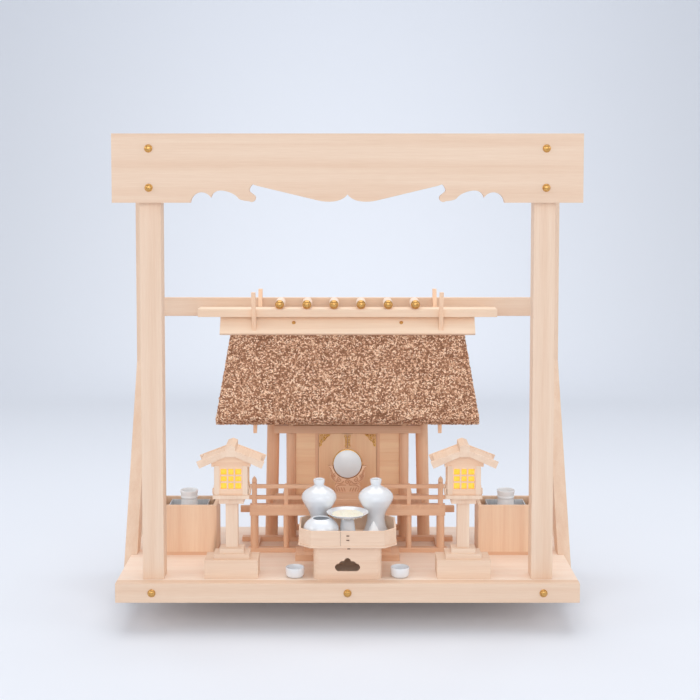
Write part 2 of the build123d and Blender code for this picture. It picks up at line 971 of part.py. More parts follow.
facing_back = (-90, 0, 0)
with BuildPart() as log_caps:
    for x in log_xs:
        with Locations(
            Location((x, ridge_y - log_length / 2, log_z), facing_front),
            Location((x, ridge_y + log_length / 2, log_z), facing_back),
        ):
            add(log_cap.part)
log_caps.part.label = "log_caps"
export_step(log_caps.part, "parts/log_caps.step")


def horn_outline(way):
    """A horn that stands on one sloping board and leans over its eave."""
    lean = radians(horn_lean)
    heel = (ridge_y + way * cover_width / 2, cover_bottom)
    toe = (heel[0] + way * horn_width * cos(lean), heel[1] - horn_width * sin(lean))
    feet = []
    for point_y, point_z in (heel, toe):
        reach = abs(point_y - ridge_y)
        drop = point_z - (board_apex_z - reach * tan(pitch))
        slide = drop / (cos(lean) + sin(lean) * tan(pitch))
        feet.append((point_y - way * slide * sin(lean), point_z - slide * cos(lean)))
    tips = []
    for point_y, point_z in (toe, heel):
        climb = deck + horn_top_rise - point_z
        tips.append((point_y + way * climb * tan(lean), point_z + climb))
    return feet + tips


with BuildPart() as ridge_horns:
    for sign in both_sides:
        for way, near in ((-1, horn_x + horn_gap), (1, horn_x - horn_gap - horn_thick)):
            low_x = min(sign * near, sign * (near + horn_thick))
            with BuildSketch(Plane.YZ.offset(low_x)):
                with BuildLine():
                    Polyline(*horn_outline(way), close=True)
                make_face()
            extrude(amount=horn_thick)
ridge_horns.part.label = "ridge_horns"
export_step(ridge_horns.part, "parts/ridge_horns.step")

# Mirror on its cloud stand and two-tier plinth
mirror_front = front + mirror_setback
plinth_middle = mirror_front + plinth_depth / 2
plinth_step_z = floor_top + plinth_height
plinth_top = plinth_step_z + plinth_top_height
with BuildPart() as mirror_plinth:
    block(
        (-plinth_half, plinth_half),
        (mirror_front, mirror_front + plinth_depth),
        (floor_top, plinth_step_z),
    )
    block(
        (-plinth_top_half, plinth_top_half),
        (plinth_middle - plinth_top_depth / 2, plinth_middle + plinth_top_depth / 2),
        (plinth_step_z, plinth_top),
    )
mirror_plinth.part.label = "mirror_plinth"
export_step(mirror_plinth.part, "parts/mirror_plinth.step")

mirror_z = plinth_top + mirror_lift + mirror_dia / 2
stand_front = plinth_middle - stand_thick / 2

# Right half of the cloud stand, out from its middle and up from its foot
stand_toe = (22.9, 5.9)
stand_waist = (18.2, 16.7)
stand_hip = (28.0, 23.7)
stand_side = (30.6, 30.9)
stand_neck = (29.8, 38.1)
stand_tip = (33.7, 47.0)
with BuildPart() as mirror_stand:
    with BuildSketch(section_plane(0, stand_front + stand_thick, plinth_top)):
        with BuildLine():
            Line((0, 0), (stand_foot_half, 0))
            Spline((stand_foot_half, 0), stand_toe, stand_waist)
            Spline(stand_waist, stand_hip, stand_side, stand_neck, stand_tip)
            Line(stand_tip, (0, stand_tip[1]))
            mirror(about=Plane.YZ)
        make_face()
    extrude(amount=stand_thick)
    with Locations(Location((0, stand_front, mirror_z), facing_front)):
        Cylinder(mirror_rim_dia / 2, 2 * stand_thick + 1, mode=Mode.SUBTRACT)
mirror_stand.part.label = "mirror_stand"
export_step(mirror_stand.part, "parts/mirror_stand.step")

rim_middle_y = plinth_middle + mirror_rim_thick / 2
with BuildPart() as mirror_rim:
    with Locations(Location((0, rim_middle_y, mirror_z), facing_front)):
        Cylinder(mirror_rim_dia / 2, mirror_rim_thick)
mirror_rim.part.label = "mirror_rim"
export_step(mirror_rim.part, "parts/mirror_rim.step")

with BuildPart() as mirror_disc:
    with Locations(Location((0, plinth_middle - mirror_thick / 2, mirror_z), facing_front)):
        Cylinder(mirror_dia / 2, mirror_thick)
mirror_disc.part.label = "mirror_disc"
export_step(mirror_disc.part, "parts/mirror_disc.step")

# Lanterns, left and right alike
lantern_y = front + lantern_setback + lantern_base_depth / 2
base_top = deck + lantern_base_height
step_top = base_top + lantern_step_height
block_top = step_top + lantern_block_height
shaft_top = block_top + lantern_shaft_height
bracket_top = shaft_top + lantern_bracket_height
lantern_floor_top = bracket_top + lantern_floor_height
lantern_body_top = lantern_floor_top + lantern_body_height
lantern_places = (-lantern_x, lantern_x)


def lantern_block(x, width, depth, z_span, mode=Mode.ADD):
    """A box centred on a lantern's axis."""
    block((x - width / 2, x + width / 2), (lantern_y - depth / 2, lantern_y + depth / 2), z_span, mode=mode)


with BuildPart() as lantern_bases:
    for x in lantern_places:
        lantern_block(x, lantern_base_width, lantern_base_depth, (deck, base_top))
        lantern_block(x, lantern_step_width, lantern_step_depth, (base_top, step_top))
        lantern_block(x, lantern_block_width, lantern_block_depth, (step_top, block_top))
lantern_bases.part.label = "lantern_bases"
export_step(lantern_bases.part, "parts/lantern_bases.step")

with BuildPart() as lantern_shafts:
    for x in lantern_places:
        lantern_block(x, lantern_shaft_width, lantern_shaft_depth, (block_top, shaft_top))
        lantern_block(x, lantern_bracket_width, lantern_bracket_depth, (shaft_top, bracket_top))
        lantern_block(x, lantern_floor_width, lantern_floor_depth, (bracket_top, lantern_floor_top))
lantern_shafts.part.label = "lantern_shafts"
export_step(lantern_shafts.part, "parts/lantern_shafts.step")

window_bottom = lantern_floor_top + lantern_window_lift
window_span = (window_bottom, window_bottom + lantern_window_height)
inner_width = lantern_body_width - 2 * lantern_wall
inner_depth = lantern_body_depth - 2 * lantern_wall
paper_bore = (inner_width - 2 * lantern_paper, inner_depth - 2 * lantern_paper)
with BuildPart() as lantern_papers:
    for x in lantern_places:
        lantern_block(x, inner_width, inner_depth, (lantern_floor_top, lantern_body_top))
        lantern_block(x, *paper_bore, (lantern_floor_top, lantern_body_top), mode=Mode.SUBTRACT)
lantern_papers.part.label = "lantern_papers"
export_step(lantern_papers.part, "parts/lantern_papers.step")

roof_pitch = radians(lantern_roof_pitch)
plate_top = lantern_body_top + lantern_plate_height
gable_apex = plate_top + lantern_gable_half * tan(roof_pitch)


def lantern_face(x, depth, points, centre_y=None):
    """Extrudes an outline, given from the lantern's axis, through a depth."""
    middle_y = lantern_y if centre_y is None else centre_y
    with BuildSketch(Plane.XZ.offset(-middle_y - depth / 2)) as outline:
        with BuildLine():
            Polyline(*[(x + dx, z) for dx, z in points], close=True)
        make_face()
    extrude(outline.sketch, amount=depth)


def gable_fall(half):
    """How far a lantern roof has dropped at this distance from its ridge."""
    return half * tan(roof_pitch)


with BuildPart() as lantern_bodies:
    for x in lantern_places:
        lantern_block(x, lantern_body_width, lantern_body_depth, (lantern_floor_top, lantern_body_top))
        lantern_block(
            x, inner_width, inner_depth, (lantern_floor_top, lantern_body_top), mode=Mode.SUBTRACT
        )
        lantern_block(x, lantern_window_width, lantern_body_depth, window_span, mode=Mode.SUBTRACT)
        lantern_block(x, lantern_body_width, lantern_side_window, window_span, mode=Mode.SUBTRACT)
        lantern_face(
            x,
            lantern_body_depth,
            (
                (-lantern_gable_half, lantern_body_top),
                (lantern_gable_half, lantern_body_top),
                (lantern_gable_half, plate_top),
                (0, gable_apex),
                (-lantern_gable_half, plate_top),
            ),
        )
lantern_bodies.part.label = "lantern_bodies"
export_step(lantern_bodies.part, "parts/lantern_bodies.step")


# Each end of a lantern roof has a pair of bargeboards that widen towards their tips.
# The boards between them stop short of the tips and lie a little lower.
ridge_side = lantern_ridge_width / 2
ridge_foot = gable_apex - gable_fall(ridge_side)
ridge_shoulder = ridge_foot + lantern_ridge_rise
ridge_crown = ridge_shoulder + lantern_ridge_crown
tip_x = lantern_barge_half + lantern_barge_tip * sin(roof_pitch)
tip_z = gable_apex - gable_fall(lantern_barge_half) + lantern_barge_tip * cos(roof_pitch)
barge_fall = (ridge_foot + lantern_barge_width - tip_z) / (tip_x - ridge_side)
barge_reach = (lantern_roof_depth - lantern_barge_thick) / 2
boards_crown = ridge_foot + lantern_barge_width + ridge_side * barge_fall - lantern_boards_drop


def lantern_barge(side):
    """Outline of one bargeboard, from the ridge out to its tip."""
    return (
        (side * ridge_side, ridge_foot),
        (side * lantern_barge_half, gable_apex - gable_fall(lantern_barge_half)),
        (side * tip_x, tip_z),
        (side * ridge_side, ridge_foot + lantern_barge_width),
    )


boards_outline = (
    (0, gable_apex),
    (lantern_boards_half, gable_apex - gable_fall(lantern_boards_half)),
    (lantern_boards_half, boards_crown - lantern_boards_half * barge_fall),
    (0, boards_crown),
    (-lantern_boards_half, boards_crown - lantern_boards_half * barge_fall),
    (-lantern_boards_half, gable_apex - gable_fall(lantern_boards_half)),
)
ridge_outline = (
    (0, gable_apex),
    (ridge_side, ridge_foot),
    (ridge_side, ridge_shoulder),
    (0, ridge_crown),
    (-ridge_side, ridge_shoulder),
    (-ridge_side, ridge_foot),
)
king_outline = (
    (-ridge_side, ridge_foot),
    (ridge_side, ridge_foot),
    (ridge_side, ridge_shoulder),
    (-ridge_side, ridge_shoulder),
)
with BuildPart() as lantern_roofs:
    for x in lantern_places:
        lantern_face(x, lantern_roof_depth - 2 * lantern_barge_thick, boards_outline)
        lantern_face(x, lantern_roof_depth + 2 * lantern_ridge_proud, ridge_outline)
        for way in both_sides:
            end_y = lantern_y + way * barge_reach
            king_y = end_y + way * lantern_ridge_proud / 2
            lantern_face(x, lantern_barge_thick + lantern_ridge_proud, king_outline, king_y)
            for side in both_sides:
                lantern_face(x, lantern_barge_thick, lantern_barge(side), end_y)
lantern_roofs.part.label = "lantern_roofs"
export_step(lantern_roofs.part, "parts/lantern_roofs.step")

# Footed tray
foot_front = front + foot_setback
foot_back = foot_front + foot_depth
foot_middle = (foot_front + foot_back) / 2
foot_top = deck + foot_height
foot_hole_z = deck + foot_hole_lift


def cloud_hole(x):
    """A slot with three lobes above it."""
    with Locations((x, foot_hole_z + foot_hole_height / 2)):
        SlotOverall(foot_hole_width, foot_hole_height)
    with Locations((x - foot_lobe_x, foot_hole_z + foot_lobe_rise), (x + foot_lobe_x, foot_hole_z + foot_lobe_rise)):
        Circle(foot_lobe_radius)
    with Locations((x, foot_hole_z + foot_crest_rise)):
        Circle(foot_crest_radius)


with BuildPart() as tray_foot:
    with BuildSketch(Plane.XY.offset(deck)):
        with Locations((0, foot_middle)):
            RectangleRounded(2 * foot_half, foot_depth, foot_corner)
            RectangleRounded(
                2 * (foot_half - foot_wall),
                foot_depth - 2 * foot_wall,
                foot_corner - foot_wall,
                mode=Mode.SUBTRACT,
            )
    extrude(amount=foot_height)
    with BuildSketch(Plane.XZ.offset(-foot_front)):
        cloud_hole(0)
    extrude(amount=-foot_wall, mode=Mode.SUBTRACT)
    with BuildSketch(Plane.YZ.offset(-foot_half)):
        cloud_hole(foot_middle)
    extrude(amount=2 * foot_half, mode=Mode.SUBTRACT)
tray_foot.part.label = "tray_foot"
export_step(tray_foot.part, "parts/tray_foot.step")

tray_floor_top = foot_top + tray_floor


def clipped_rectangle(half_width, depth, corner):
    """A rectangle with its four corners cut off, centred on the tray."""
    half_depth = depth / 2
    with BuildSketch() as outline:
        with BuildLine():
            Polyline(
                (half_width - corner, foot_middle - half_depth),
                (half_width, foot_middle - half_depth + corner),
                (half_width, foot_middle + half_depth - corner),
                (half_width - corner, foot_middle + half_depth),
                (corner - half_width, foot_middle + half_depth),
                (-half_width, foot_middle + half_depth - corner),
                (-half_width, foot_middle - half_depth + corner),
                (corner - half_width, foot_middle - half_depth),
                close=True,
            )
        make_face()
    return outline.sketch


with BuildPart() as offering_tray:
    with BuildSketch(Plane.XY.offset(foot_top)):
        add(clipped_rectangle(tray_half, tray_depth, tray_corner))
    extrude(amount=tray_floor)
    with BuildSketch(Plane.XY.offset(tray_floor_top)):
        add(clipped_rectangle(tray_half - tray_lip, tray_depth - 2 * tray_lip, tray_corner))
        offset(amount=-tray_wall, kind=Kind.INTERSECTION, mode=Mode.SUBTRACT)
    extrude(amount=tray_height - tray_floor)
offering_tray.part.label = "offering_tray"
export_step(offering_tray.part, "parts/offering_tray.step")

# Vessels on the tray
tray_front = foot_middle - tray_depth / 2
tray_back = foot_middle + tray_depth / 2
bottle_y = tray_back - bottle_back
bottle_bore = bottle_neck - porcelain

with BuildPart() as sake_bottles:
    for x in (-bottle_x, bottle_x):
        with BuildSketch(section_plane(x, bottle_y, tray_floor_top)):
            with BuildLine():
                Line((0, 0), (bottle_foot, 0))
                Spline(
                    (bottle_foot, 0),
                    (bottle_waist, bottle_waist_height),
                    (bottle_shoulder, bottle_shoulder_height),
                    tangents=((-0.4, 1), (0, 1)),
                )
                Spline(
                    (bottle_shoulder, bottle_shoulder_height),
                    (bottle_neck, bottle_neck_height),
                    tangents=((0, 1), (-0.1, 1)),
                )
                Line((bottle_neck, bottle_neck_height), (bottle_mouth, bottle_lip_height))
                Line((bottle_mouth, bottle_lip_height), (bottle_mouth, bottle_height))
                Line((bottle_mouth, bottle_height), (bottle_bore, bottle_height))
                Line((bottle_bore, bottle_height), (bottle_bore, bottle_neck_height))
                Spline(
                    (bottle_bore, bottle_neck_height),
                    (bottle_shoulder - porcelain, bottle_shoulder_height),
                    tangents=((0.1, -1), (0, -1)),
                )
                Spline(
                    (bottle_shoulder - porcelain, bottle_shoulder_height),
                    (bottle_waist - porcelain, bottle_waist_height),
                    (bottle_well, bottle_base_thick),
                    tangents=((0, -1), (0.1, -1)),
                )
                Line((bottle_well, bottle_base_thick), (0, bottle_base_thick))
                Line((0, bottle_base_thick), (0, 0))
            make_face()
        revolve_profile(x, bottle_y)
sake_bottles.part.label = "sake_bottles"
export_step(sake_bottles.part, "parts/sake_bottles.step")

dish_y = tray_front + dish_setback
bowl_z = dish_height - dish_bowl_depth
bowl_inner = dish_rim - porcelain
with BuildPart() as rice_dish:
    with BuildSketch(section_plane(0, dish_y, tray_floor_top)):
        with BuildLine():
            Polyline((0, 0), (dish_foot, 0), (dish_stem, dish_stem_height))
            Spline(
                (dish_stem, dish_stem_height),
                (dish_belly, dish_belly_height),
                (dish_rim, dish_height),
                tangents=((1, 0.15), (0.8, 1)),
            )
            Line((dish_rim, dish_height), (bowl_inner, dish_height))
            Spline(
                (bowl_inner, dish_height),
                (0, bowl_z),
                tangents=((-0.6, -1), (-1, 0)),
            )
            Line((0, bowl_z), (0, 0))
        make_face()
    revolve_profile(0, dish_y)
rice_dish.part.label = "rice_dish"
export_step(rice_dish.part, "parts/rice_dish.step")

with BuildPart() as rice:
    with BuildSketch(section_plane(0, dish_y, tray_floor_top)):
        with BuildLine():
            Line((0, bowl_z - 1), (0, dish_height + rice_rise))
            Spline(
                (0, dish_height + rice_rise),
                (rice_radius, rice_edge_height),
                tangents=((1, 0), (0.7, -1)),
            )
            Line((rice_radius, rice_edge_height), (rice_radius, rice_edge_height - 1.5))
            Polyline((rice_radius, rice_edge_height - 1.5), (dish_stem, bowl_z - 1), (0, bowl_z - 1))
        make_face()
    revolve_profile(0, dish_y)
    add(rice_dish.part, mode=Mode.SUBTRACT)
rice.part.label = "rice"
export_step(rice.part, "parts/rice.step")

jar_y = tray_front + jar_setback
with BuildPart() as water_jar:
    with BuildSketch(section_plane(-jar_x, jar_y, tray_floor_top)):
        with BuildLine():
            Line((0, 0), (jar_foot, 0))
            Spline(
                (jar_foot, 0),
                (jar_radius, jar_belly_height),
                tangents=((1, 0.35), (0, 1)),
            )
            Spline(
                (jar_radius, jar_belly_height),
                (jar_mouth, jar_height),
                tangents=((0, 1), (-1, 0.25)),
            )
            Line((jar_mouth, jar_height), (jar_mouth - porcelain, jar_height - 1))
            Spline(
                (jar_mouth - porcelain, jar_height - 1),
                (jar_radius - porcelain, jar_belly_height),
                tangents=((1, -0.4), (0, -1)),
            )
            Spline(
                (jar_radius - porcelain, jar_belly_height),
                (jar_foot - porcelain, porcelain + 1),
                tangents=((0, -1), (-1, -0.25)),
            )
            Line((jar_foot - porcelain, porcelain + 1), (0, porcelain + 1))
            Line((0, porcelain + 1), (0, 0))
        make_face()
    revolve_profile(-jar_x, jar_y)
water_jar.part.label = "water_jar"
export_step(water_jar.part, "parts/water_jar.step")

salt_y = tray_front + salt_setback
salt_seat = porcelain + 2.0
with BuildPart() as salt_dish:
    with BuildSketch(section_plane(salt_x, salt_y, tray_floor_top)):
        with BuildLine():
            Polyline(
                (0, 0),
                (salt_foot, 0),
                (salt_radius, salt_dish_height),
                (salt_radius - porcelain, salt_dish_height),
                (salt_foot + 1, salt_seat),
                (0, salt_seat),
                close=True,
            )
        make_face()
    revolve_profile(salt_x, salt_y)
salt_dish.part.label = "salt_dish"
export_step(salt_dish.part, "parts/salt_dish.step")

with BuildPart() as salt_cone:
    with Locations((salt_x, salt_y, tray_floor_top + salt_seat)):
        Cone(salt_cone_radius, 0.6, salt_cone_height, align=(Align.CENTER, Align.CENTER, Align.MIN))
salt_cone.part.label = "salt_cone"
export_step(salt_cone.part, "parts/salt_cone.step")

cup_y = front + cup_setback
with BuildPart() as water_cups:
    for x in (-cup_x, cup_x):
        with BuildSketch(section_plane(x, cup_y, deck)):
            with BuildLine():
                Polyline(
                    (0, 0),
                    (cup_foot, 0),
                    (cup_radius, cup_height * 0.4),
                    (cup_radius, cup_height),
                    (cup_radius - porcelain, cup_height),
                    (cup_radius - porcelain, cup_height * 0.45),
                    (cup_foot - porcelain, porcelain),
                    (0, porcelain),
                    close=True,
                )
            make_face()
        revolve_profile(x, cup_y)
water_cups.part.label = "water_cups"
export_step(water_cups.part, "parts/water_cups.step")

# Vase boxes with their liners and vases
box_front = front + box_setback
box_middle = box_front + box_depth / 2
liner_bottom = deck + box_floor
with BuildPart() as vase_boxes:
    for sign in both_sides:
        block(
            span(sign, box_x - box_width / 2, box_x + box_width / 2),
            (box_front, box_front + box_depth),
            (deck, deck + box_height),
        )
        block(
            span(sign, box_x - box_width / 2 + box_wall, box_x + box_width / 2 - box_wall),
            (box_front + box_wall, box_front + box_depth - box_wall),
            (deck + box_floor, deck + box_height),
            mode=Mode.SUBTRACT,
        )
vase_boxes.part.label = "vase_boxes"
export_step(vase_boxes.part, "parts/vase_boxes.step")

with BuildPart() as box_liners:
    for sign in both_sides:
        block(
            span(sign, box_x - liner_width / 2, box_x + liner_width / 2),
            (box_middle - liner_depth / 2, box_middle + liner_depth / 2),
            (liner_bottom, liner_bottom + liner_height),
        )
        block(
            span(sign, box_x - liner_width / 2 + liner_wall, box_x + liner_width / 2 - liner_wall),
            (box_middle - liner_depth / 2 + liner_wall, box_middle + liner_depth / 2 - liner_wall),
            (liner_bottom + liner_wall, liner_bottom + liner_height),
            mode=Mode.SUBTRACT,
        )
box_liners.part.label = "box_liners"
export_step(box_liners.part, "parts/box_liners.step")

vase_bottom = liner_bottom + liner_wall
with BuildPart() as vases:
    for x in (-box_x, box_x):
        with BuildSketch(section_plane(x, box_middle, vase_bottom)):
            with BuildLine():
                Line((0, 0), (vase_foot, 0))
                Spline(
                    (vase_foot, 0),
                    (vase_belly, vase_height * 0.45),
                    (vase_neck, vase_height * 0.85),
                    (vase_rim, vase_height),
                    tangents=((0.2, 1), (0.1, 1)),
                )
                Line((vase_rim, vase_height), (vase_rim - porcelain, vase_height))
                Spline(
                    (vase_rim - porcelain, vase_height),
                    (vase_neck - porcelain, vase_height * 0.85),
                    (vase_belly - porcelain, vase_height * 0.45),
                    (vase_foot - porcelain, porcelain + 1),
                    tangents=((-0.1, -1), (-0.2, -1)),
                )
                Line((vase_foot - porcelain, porcelain + 1), (0, porcelain + 1))
                Line((0, porcelain + 1), (0, 0))
            make_face()
        revolve_profile(x, box_middle)
vases.part.label = "vases"
export_step(vases.part, "parts/vases.step")

print("roof pitch", round(degrees(pitch), 1), "ridge cover", round(cover_bottom, 1), round(cover_top, 1))
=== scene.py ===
import json
import math

import bpy
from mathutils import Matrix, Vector


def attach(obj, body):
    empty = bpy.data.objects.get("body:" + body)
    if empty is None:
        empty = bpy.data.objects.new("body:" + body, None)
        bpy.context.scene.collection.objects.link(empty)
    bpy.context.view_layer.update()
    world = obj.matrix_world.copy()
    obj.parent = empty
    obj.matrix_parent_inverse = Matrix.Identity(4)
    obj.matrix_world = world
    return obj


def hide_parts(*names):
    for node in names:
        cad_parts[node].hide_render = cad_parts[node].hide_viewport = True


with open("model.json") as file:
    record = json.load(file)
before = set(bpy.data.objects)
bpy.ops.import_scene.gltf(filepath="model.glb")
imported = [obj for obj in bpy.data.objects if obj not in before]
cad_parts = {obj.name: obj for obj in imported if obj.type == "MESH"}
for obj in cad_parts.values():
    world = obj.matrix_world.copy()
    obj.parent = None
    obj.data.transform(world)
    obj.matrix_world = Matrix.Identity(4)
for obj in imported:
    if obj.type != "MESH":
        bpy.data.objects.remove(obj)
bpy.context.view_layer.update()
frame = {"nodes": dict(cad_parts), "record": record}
bodyOfNode = {node: body for body, nodes in frame["record"]["behaviour"]["bodies"].items() for node in nodes}
slotOfNode = {part["node"]: part["material_slot"] for part in frame["record"]["subparts"]}
mm = 0.001
farOff = 9000  # beyond every piece, in millimetres
print("stage: frame loaded,", len(frame["nodes"]), "nodes")


# Selecting and finishing

def deselectAll():
    if bpy.context.object and bpy.context.object.mode != "OBJECT":
        bpy.ops.object.mode_set(mode="OBJECT")
    bpy.ops.object.select_all(action="DESELECT")


def pickUp(piece):
    deselectAll()
    piece.select_set(True)
    bpy.context.view_layer.objects.active = piece


def editAll(piece):
    pickUp(piece)
    bpy.ops.object.mode_set(mode="EDIT")
    bpy.ops.mesh.select_all(action="SELECT")


def settle(piece):
    # a finished piece keeps its place in its mesh
    pickUp(piece)
    bpy.ops.object.transform_apply(location=True, rotation=True, scale=True)


def useModifier(piece, kind, **options):
    pickUp(piece)
    modifier = piece.modifiers.new(kind.title(), kind)
    for option, value in options.items():
        setattr(modifier, option, value)
    bpy.ops.object.modifier_apply(modifier=modifier.name)


def joined(name, parts):
    deselectAll()
    for part in parts:
        part.select_set(True)
    bpy.context.view_layer.objects.active = parts[0]
    if len(parts) > 1:
        bpy.ops.object.join()
    whole = bpy.context.object
    whole.name = name
    return whole


def copied(piece, shift=(0, 0, 0)):
    pickUp(piece)
    bpy.ops.object.duplicate()
    twin = bpy.context.object
    twin.location = Vector(twin.location) + Vector(shift) * mm
    settle(twin)
    return twin


def outwards(piece):
    editAll(piece)
    bpy.ops.mesh.remove_doubles(threshold=1e-6)
    bpy.ops.mesh.normals_make_consistent(inside=False)
    bpy.ops.object.mode_set(mode="OBJECT")


def mirroredCopy(piece):
    twin = copied(piece)
    twin.scale.x = -1
    settle(twin)
    outwards(twin)
    return twin


def smoothed(piece, degrees=35):
    pickUp(piece)
    bpy.ops.object.shade_smooth_by_angle(angle=math.radians(degrees))


def dressed(piece, material, slotName, *nodes):
    # gives a new piece its finish and its place in the frame
    if material:
        piece.data.materials.clear()
        piece.data.materials.append(material)
    settle(piece)
    if nodes:
        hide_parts(*nodes)
    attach(piece, bodyOfNode[nodes[0]] if nodes else "altar")


def eased(piece, width):
    # takes the sharpness off a board's edges and keeps its faces flat
    corners = {"limit_method": "ANGLE", "angle_limit": math.radians(28)}
    useModifier(piece, "BEVEL", width=width * mm, segments=2, **corners)
    smoothed(piece)
    useModifier(piece, "WEIGHTED_NORMAL", keep_sharp=True, weight=100)


def board(name, low, high, ease):
    # a board between two corners, in millimetres
    low, high = Vector(low) * mm, Vector(high) * mm
    bpy.ops.mesh.primitive_cube_add(size=1, location=(low + high) / 2)
    piece = bpy.context.object
    piece.name = name
    piece.scale = high - low
    settle(piece)
    if ease:
        eased(piece, ease)
    return piece


def mergedCopy(node):
    mesh = frame["nodes"][node].data.copy()
    piece = bpy.data.objects.new(node + "_finished", mesh)
    bpy.context.scene.collection.objects.link(piece)
    mesh.materials.clear()
    editAll(piece)
    bpy.ops.mesh.remove_doubles(threshold=2e-6)
    bpy.ops.mesh.dissolve_limited(angle_limit=math.radians(0.4))
    bpy.ops.object.mode_set(mode="OBJECT")
    return piece


def sawn(piece, axis, cuts):
    # saws a piece across one axis into planks; the cuts are in millimetres
    normal = Vector([float(letter == axis) for letter in "XYZ"])
    limits = [-farOff] + sorted(cuts) + [farOff]
    planks = []
    for low, high in zip(limits, limits[1:]):
        plank = copied(piece)
        bpy.ops.object.mode_set(mode="EDIT")
        for edge, inner in ((low, True), (high, False)):
            bpy.ops.mesh.select_all(action="SELECT")
            bpy.ops.mesh.bisect(
                plane_co=normal * edge * mm, plane_no=normal, use_fill=True,
                clear_inner=inner, clear_outer=not inner,
            )
        bpy.ops.object.mode_set(mode="OBJECT")
        if plank.data.vertices:
            planks.append(plank)
        else:
            bpy.data.objects.remove(plank)
    name = piece.name
    bpy.data.objects.remove(piece)
    return joined(name, planks)


def drawn(name, points):
    # draws a line of edges through points given in millimetres
    bpy.ops.mesh.primitive_plane_add(size=mm, location=(0, 0, 0))
    line = bpy.context.object
    line.name = name
    editAll(line)
    bpy.ops.mesh.merge(type="CENTER")
    bpy.ops.transform.translate(value=Vector(points[0]) * mm)
    for start, end in zip(points, points[1:]):
        step = (Vector(end) - Vector(start)) * mm
        bpy.ops.mesh.extrude_vertices_move(TRANSFORM_OT_translate={"value": step})
    bpy.ops.object.mode_set(mode="OBJECT")
    return line


def throughPoints(points, steps):
    # a smooth line through a few points, each a tuple of numbers
    ends = [points[0]] + list(points) + [points[-1]]
    line = []
    for a, b, c, d in zip(ends, ends[1:], ends[2:], ends[3:]):
        for step in range(steps):
            t = step / steps
            line.append(tuple(
                0.5 * (
                    2 * q + (r - p) * t + (2 * p - 5 * q + 4 * r - s) * t**2
                    + (3 * q - p - 3 * r + s) * t**3
                )
                for p, q, r, s in zip(a, b, c, d)
            ))
    return line + [tuple(points[-1])]


def spun(name, foot, profile, turns):
    # spins a profile of radius and height round an upright line; foot is where it stands
    x, y, z = foot
    piece = drawn(name, [(x + radius, y, z + height) for radius, height in profile])
    editAll(piece)
    centre = Vector(foot) * mm
    bpy.ops.mesh.spin(steps=turns, angle=math.tau, center=centre, axis=(0, 0, 1))
    bpy.ops.object.mode_set(mode="OBJECT")
    outwards(piece)
    smoothed(piece, 50)
    return piece


def wire(name, points, radius):
    # a rounded rod along a line
    piece = drawn(name, points)
    bpy.ops.object.convert(target="CURVE")
    piece = bpy.context.object
    piece.data.bevel_depth = radius * mm
    piece.data.bevel_resolution = 1
    piece.data.use_fill_caps = True
    bpy.ops.object.convert(target="MESH")
    piece = bpy.context.object
    smoothed(piece, 60)
    return piece


def spiral(centre, radius, turns, way, start, steps=18, woundIn=0.86):
    # a scroll in an upright plane that faces the front, wound in to its middle
    x, y, z = centre
    count = int(steps * turns)
    line = []
    for step in range(count + 1):
        share = step / count
        angle = math.radians(start) + way * math.tau * turns * share
        reach = radius * (1 - woundIn * share)
        line.append((x + reach * math.cos(angle), y, z + reach * math.sin(angle)))
    return line


# Materials

def srgb(red, green, blue):
    # a colour as a screen shows it, turned into Blender's linear numbers
    linear = []
    for value in (red, green, blue):
        share = value / 255
        linear.append(((share + 0.055) / 1.055) ** 2.4 if share > 0.04 else share / 12.92)
    return (*linear, 1)


def newMaterial(name, **sockets):
    material = bpy.data.materials.new(name)
    material.use_nodes = True
    shader = material.node_tree.nodes["Principled BSDF"]
    for socket, value in sockets.items():
        shader.inputs[socket.replace("_", " ")].default_value = value
    return material, material.node_tree, shader


def addNode(tree, kind, values=None, **options):
    node = tree.nodes.new("ShaderNode" + kind)
    for option, value in options.items():
        setattr(node, option, value)
    for socket, value in (values or {}).items():
        node.inputs[socket].default_value = value
    return node


def objectPlace(tree, scale=(1, 1, 1)):
    place = addNode(tree, "TexCoord")
    mapping = addNode(tree, "Mapping", {"Scale": scale})
    tree.links.new(place.outputs["Object"], mapping.inputs["Vector"])
    return mapping.outputs["Vector"]


def noise(tree, vector, scale, detail, roughness=0.5, distortion=0.0):
    values = {"Scale": scale, "Detail": detail, "Roughness": roughness, "Distortion": distortion}
    node = addNode(tree, "TexNoise", values)
    tree.links.new(vector, node.inputs["Vector"])
    return node.outputs["Fac"]


def spreadOut(tree, value, low, high):
    node = addNode(tree, "MapRange", {"From Min": low, "From Max": high})
    tree.links.new(value, node.inputs["Value"])
    return node.outputs["Result"]


def mixedColour(tree, factor, first, second, blend="MIX"):
    node = addNode(tree, "Mix", data_type="RGBA", blend_type=blend)
    for socket, value in ((0, factor), (6, first), (7, second)):
        if isinstance(value, bpy.types.NodeSocket):
            tree.links.new(value, node.inputs[socket])
        else:
            node.inputs[socket].default_value = value
    return node.outputs[2]


def sumOf(tree, first, second, share):
    # a share of the first value on top of the second
    node = addNode(tree, "Math", {1: share}, operation="MULTIPLY_ADD")
    tree.links.new(first, node.inputs[0])
    tree.links.new(second, node.inputs[2])
    return node.outputs[0]


def addBump(tree, shader, height, strength, distance):
    bump = addNode(tree, "Bump", {"Strength": strength, "Distance": distance})
    tree.links.new(height, bump.inputs["Height"])
    tree.links.new(bump.outputs["Normal"], shader.inputs["Normal"])


def tinted(tree, shader, pattern, low, high, first, second):
    # the colour runs from the first tone to the second as the pattern rises
    colour = mixedColour(tree, spreadOut(tree, pattern, low, high), first, second)
    tree.links.new(colour, shader.inputs["Base Color"])
    return colour


def glossed(tree, shader, pattern, low, high):
    # the shine varies with the pattern
    tree.links.new(spreadOut(tree, pattern, low, high), shader.inputs["Roughness"])


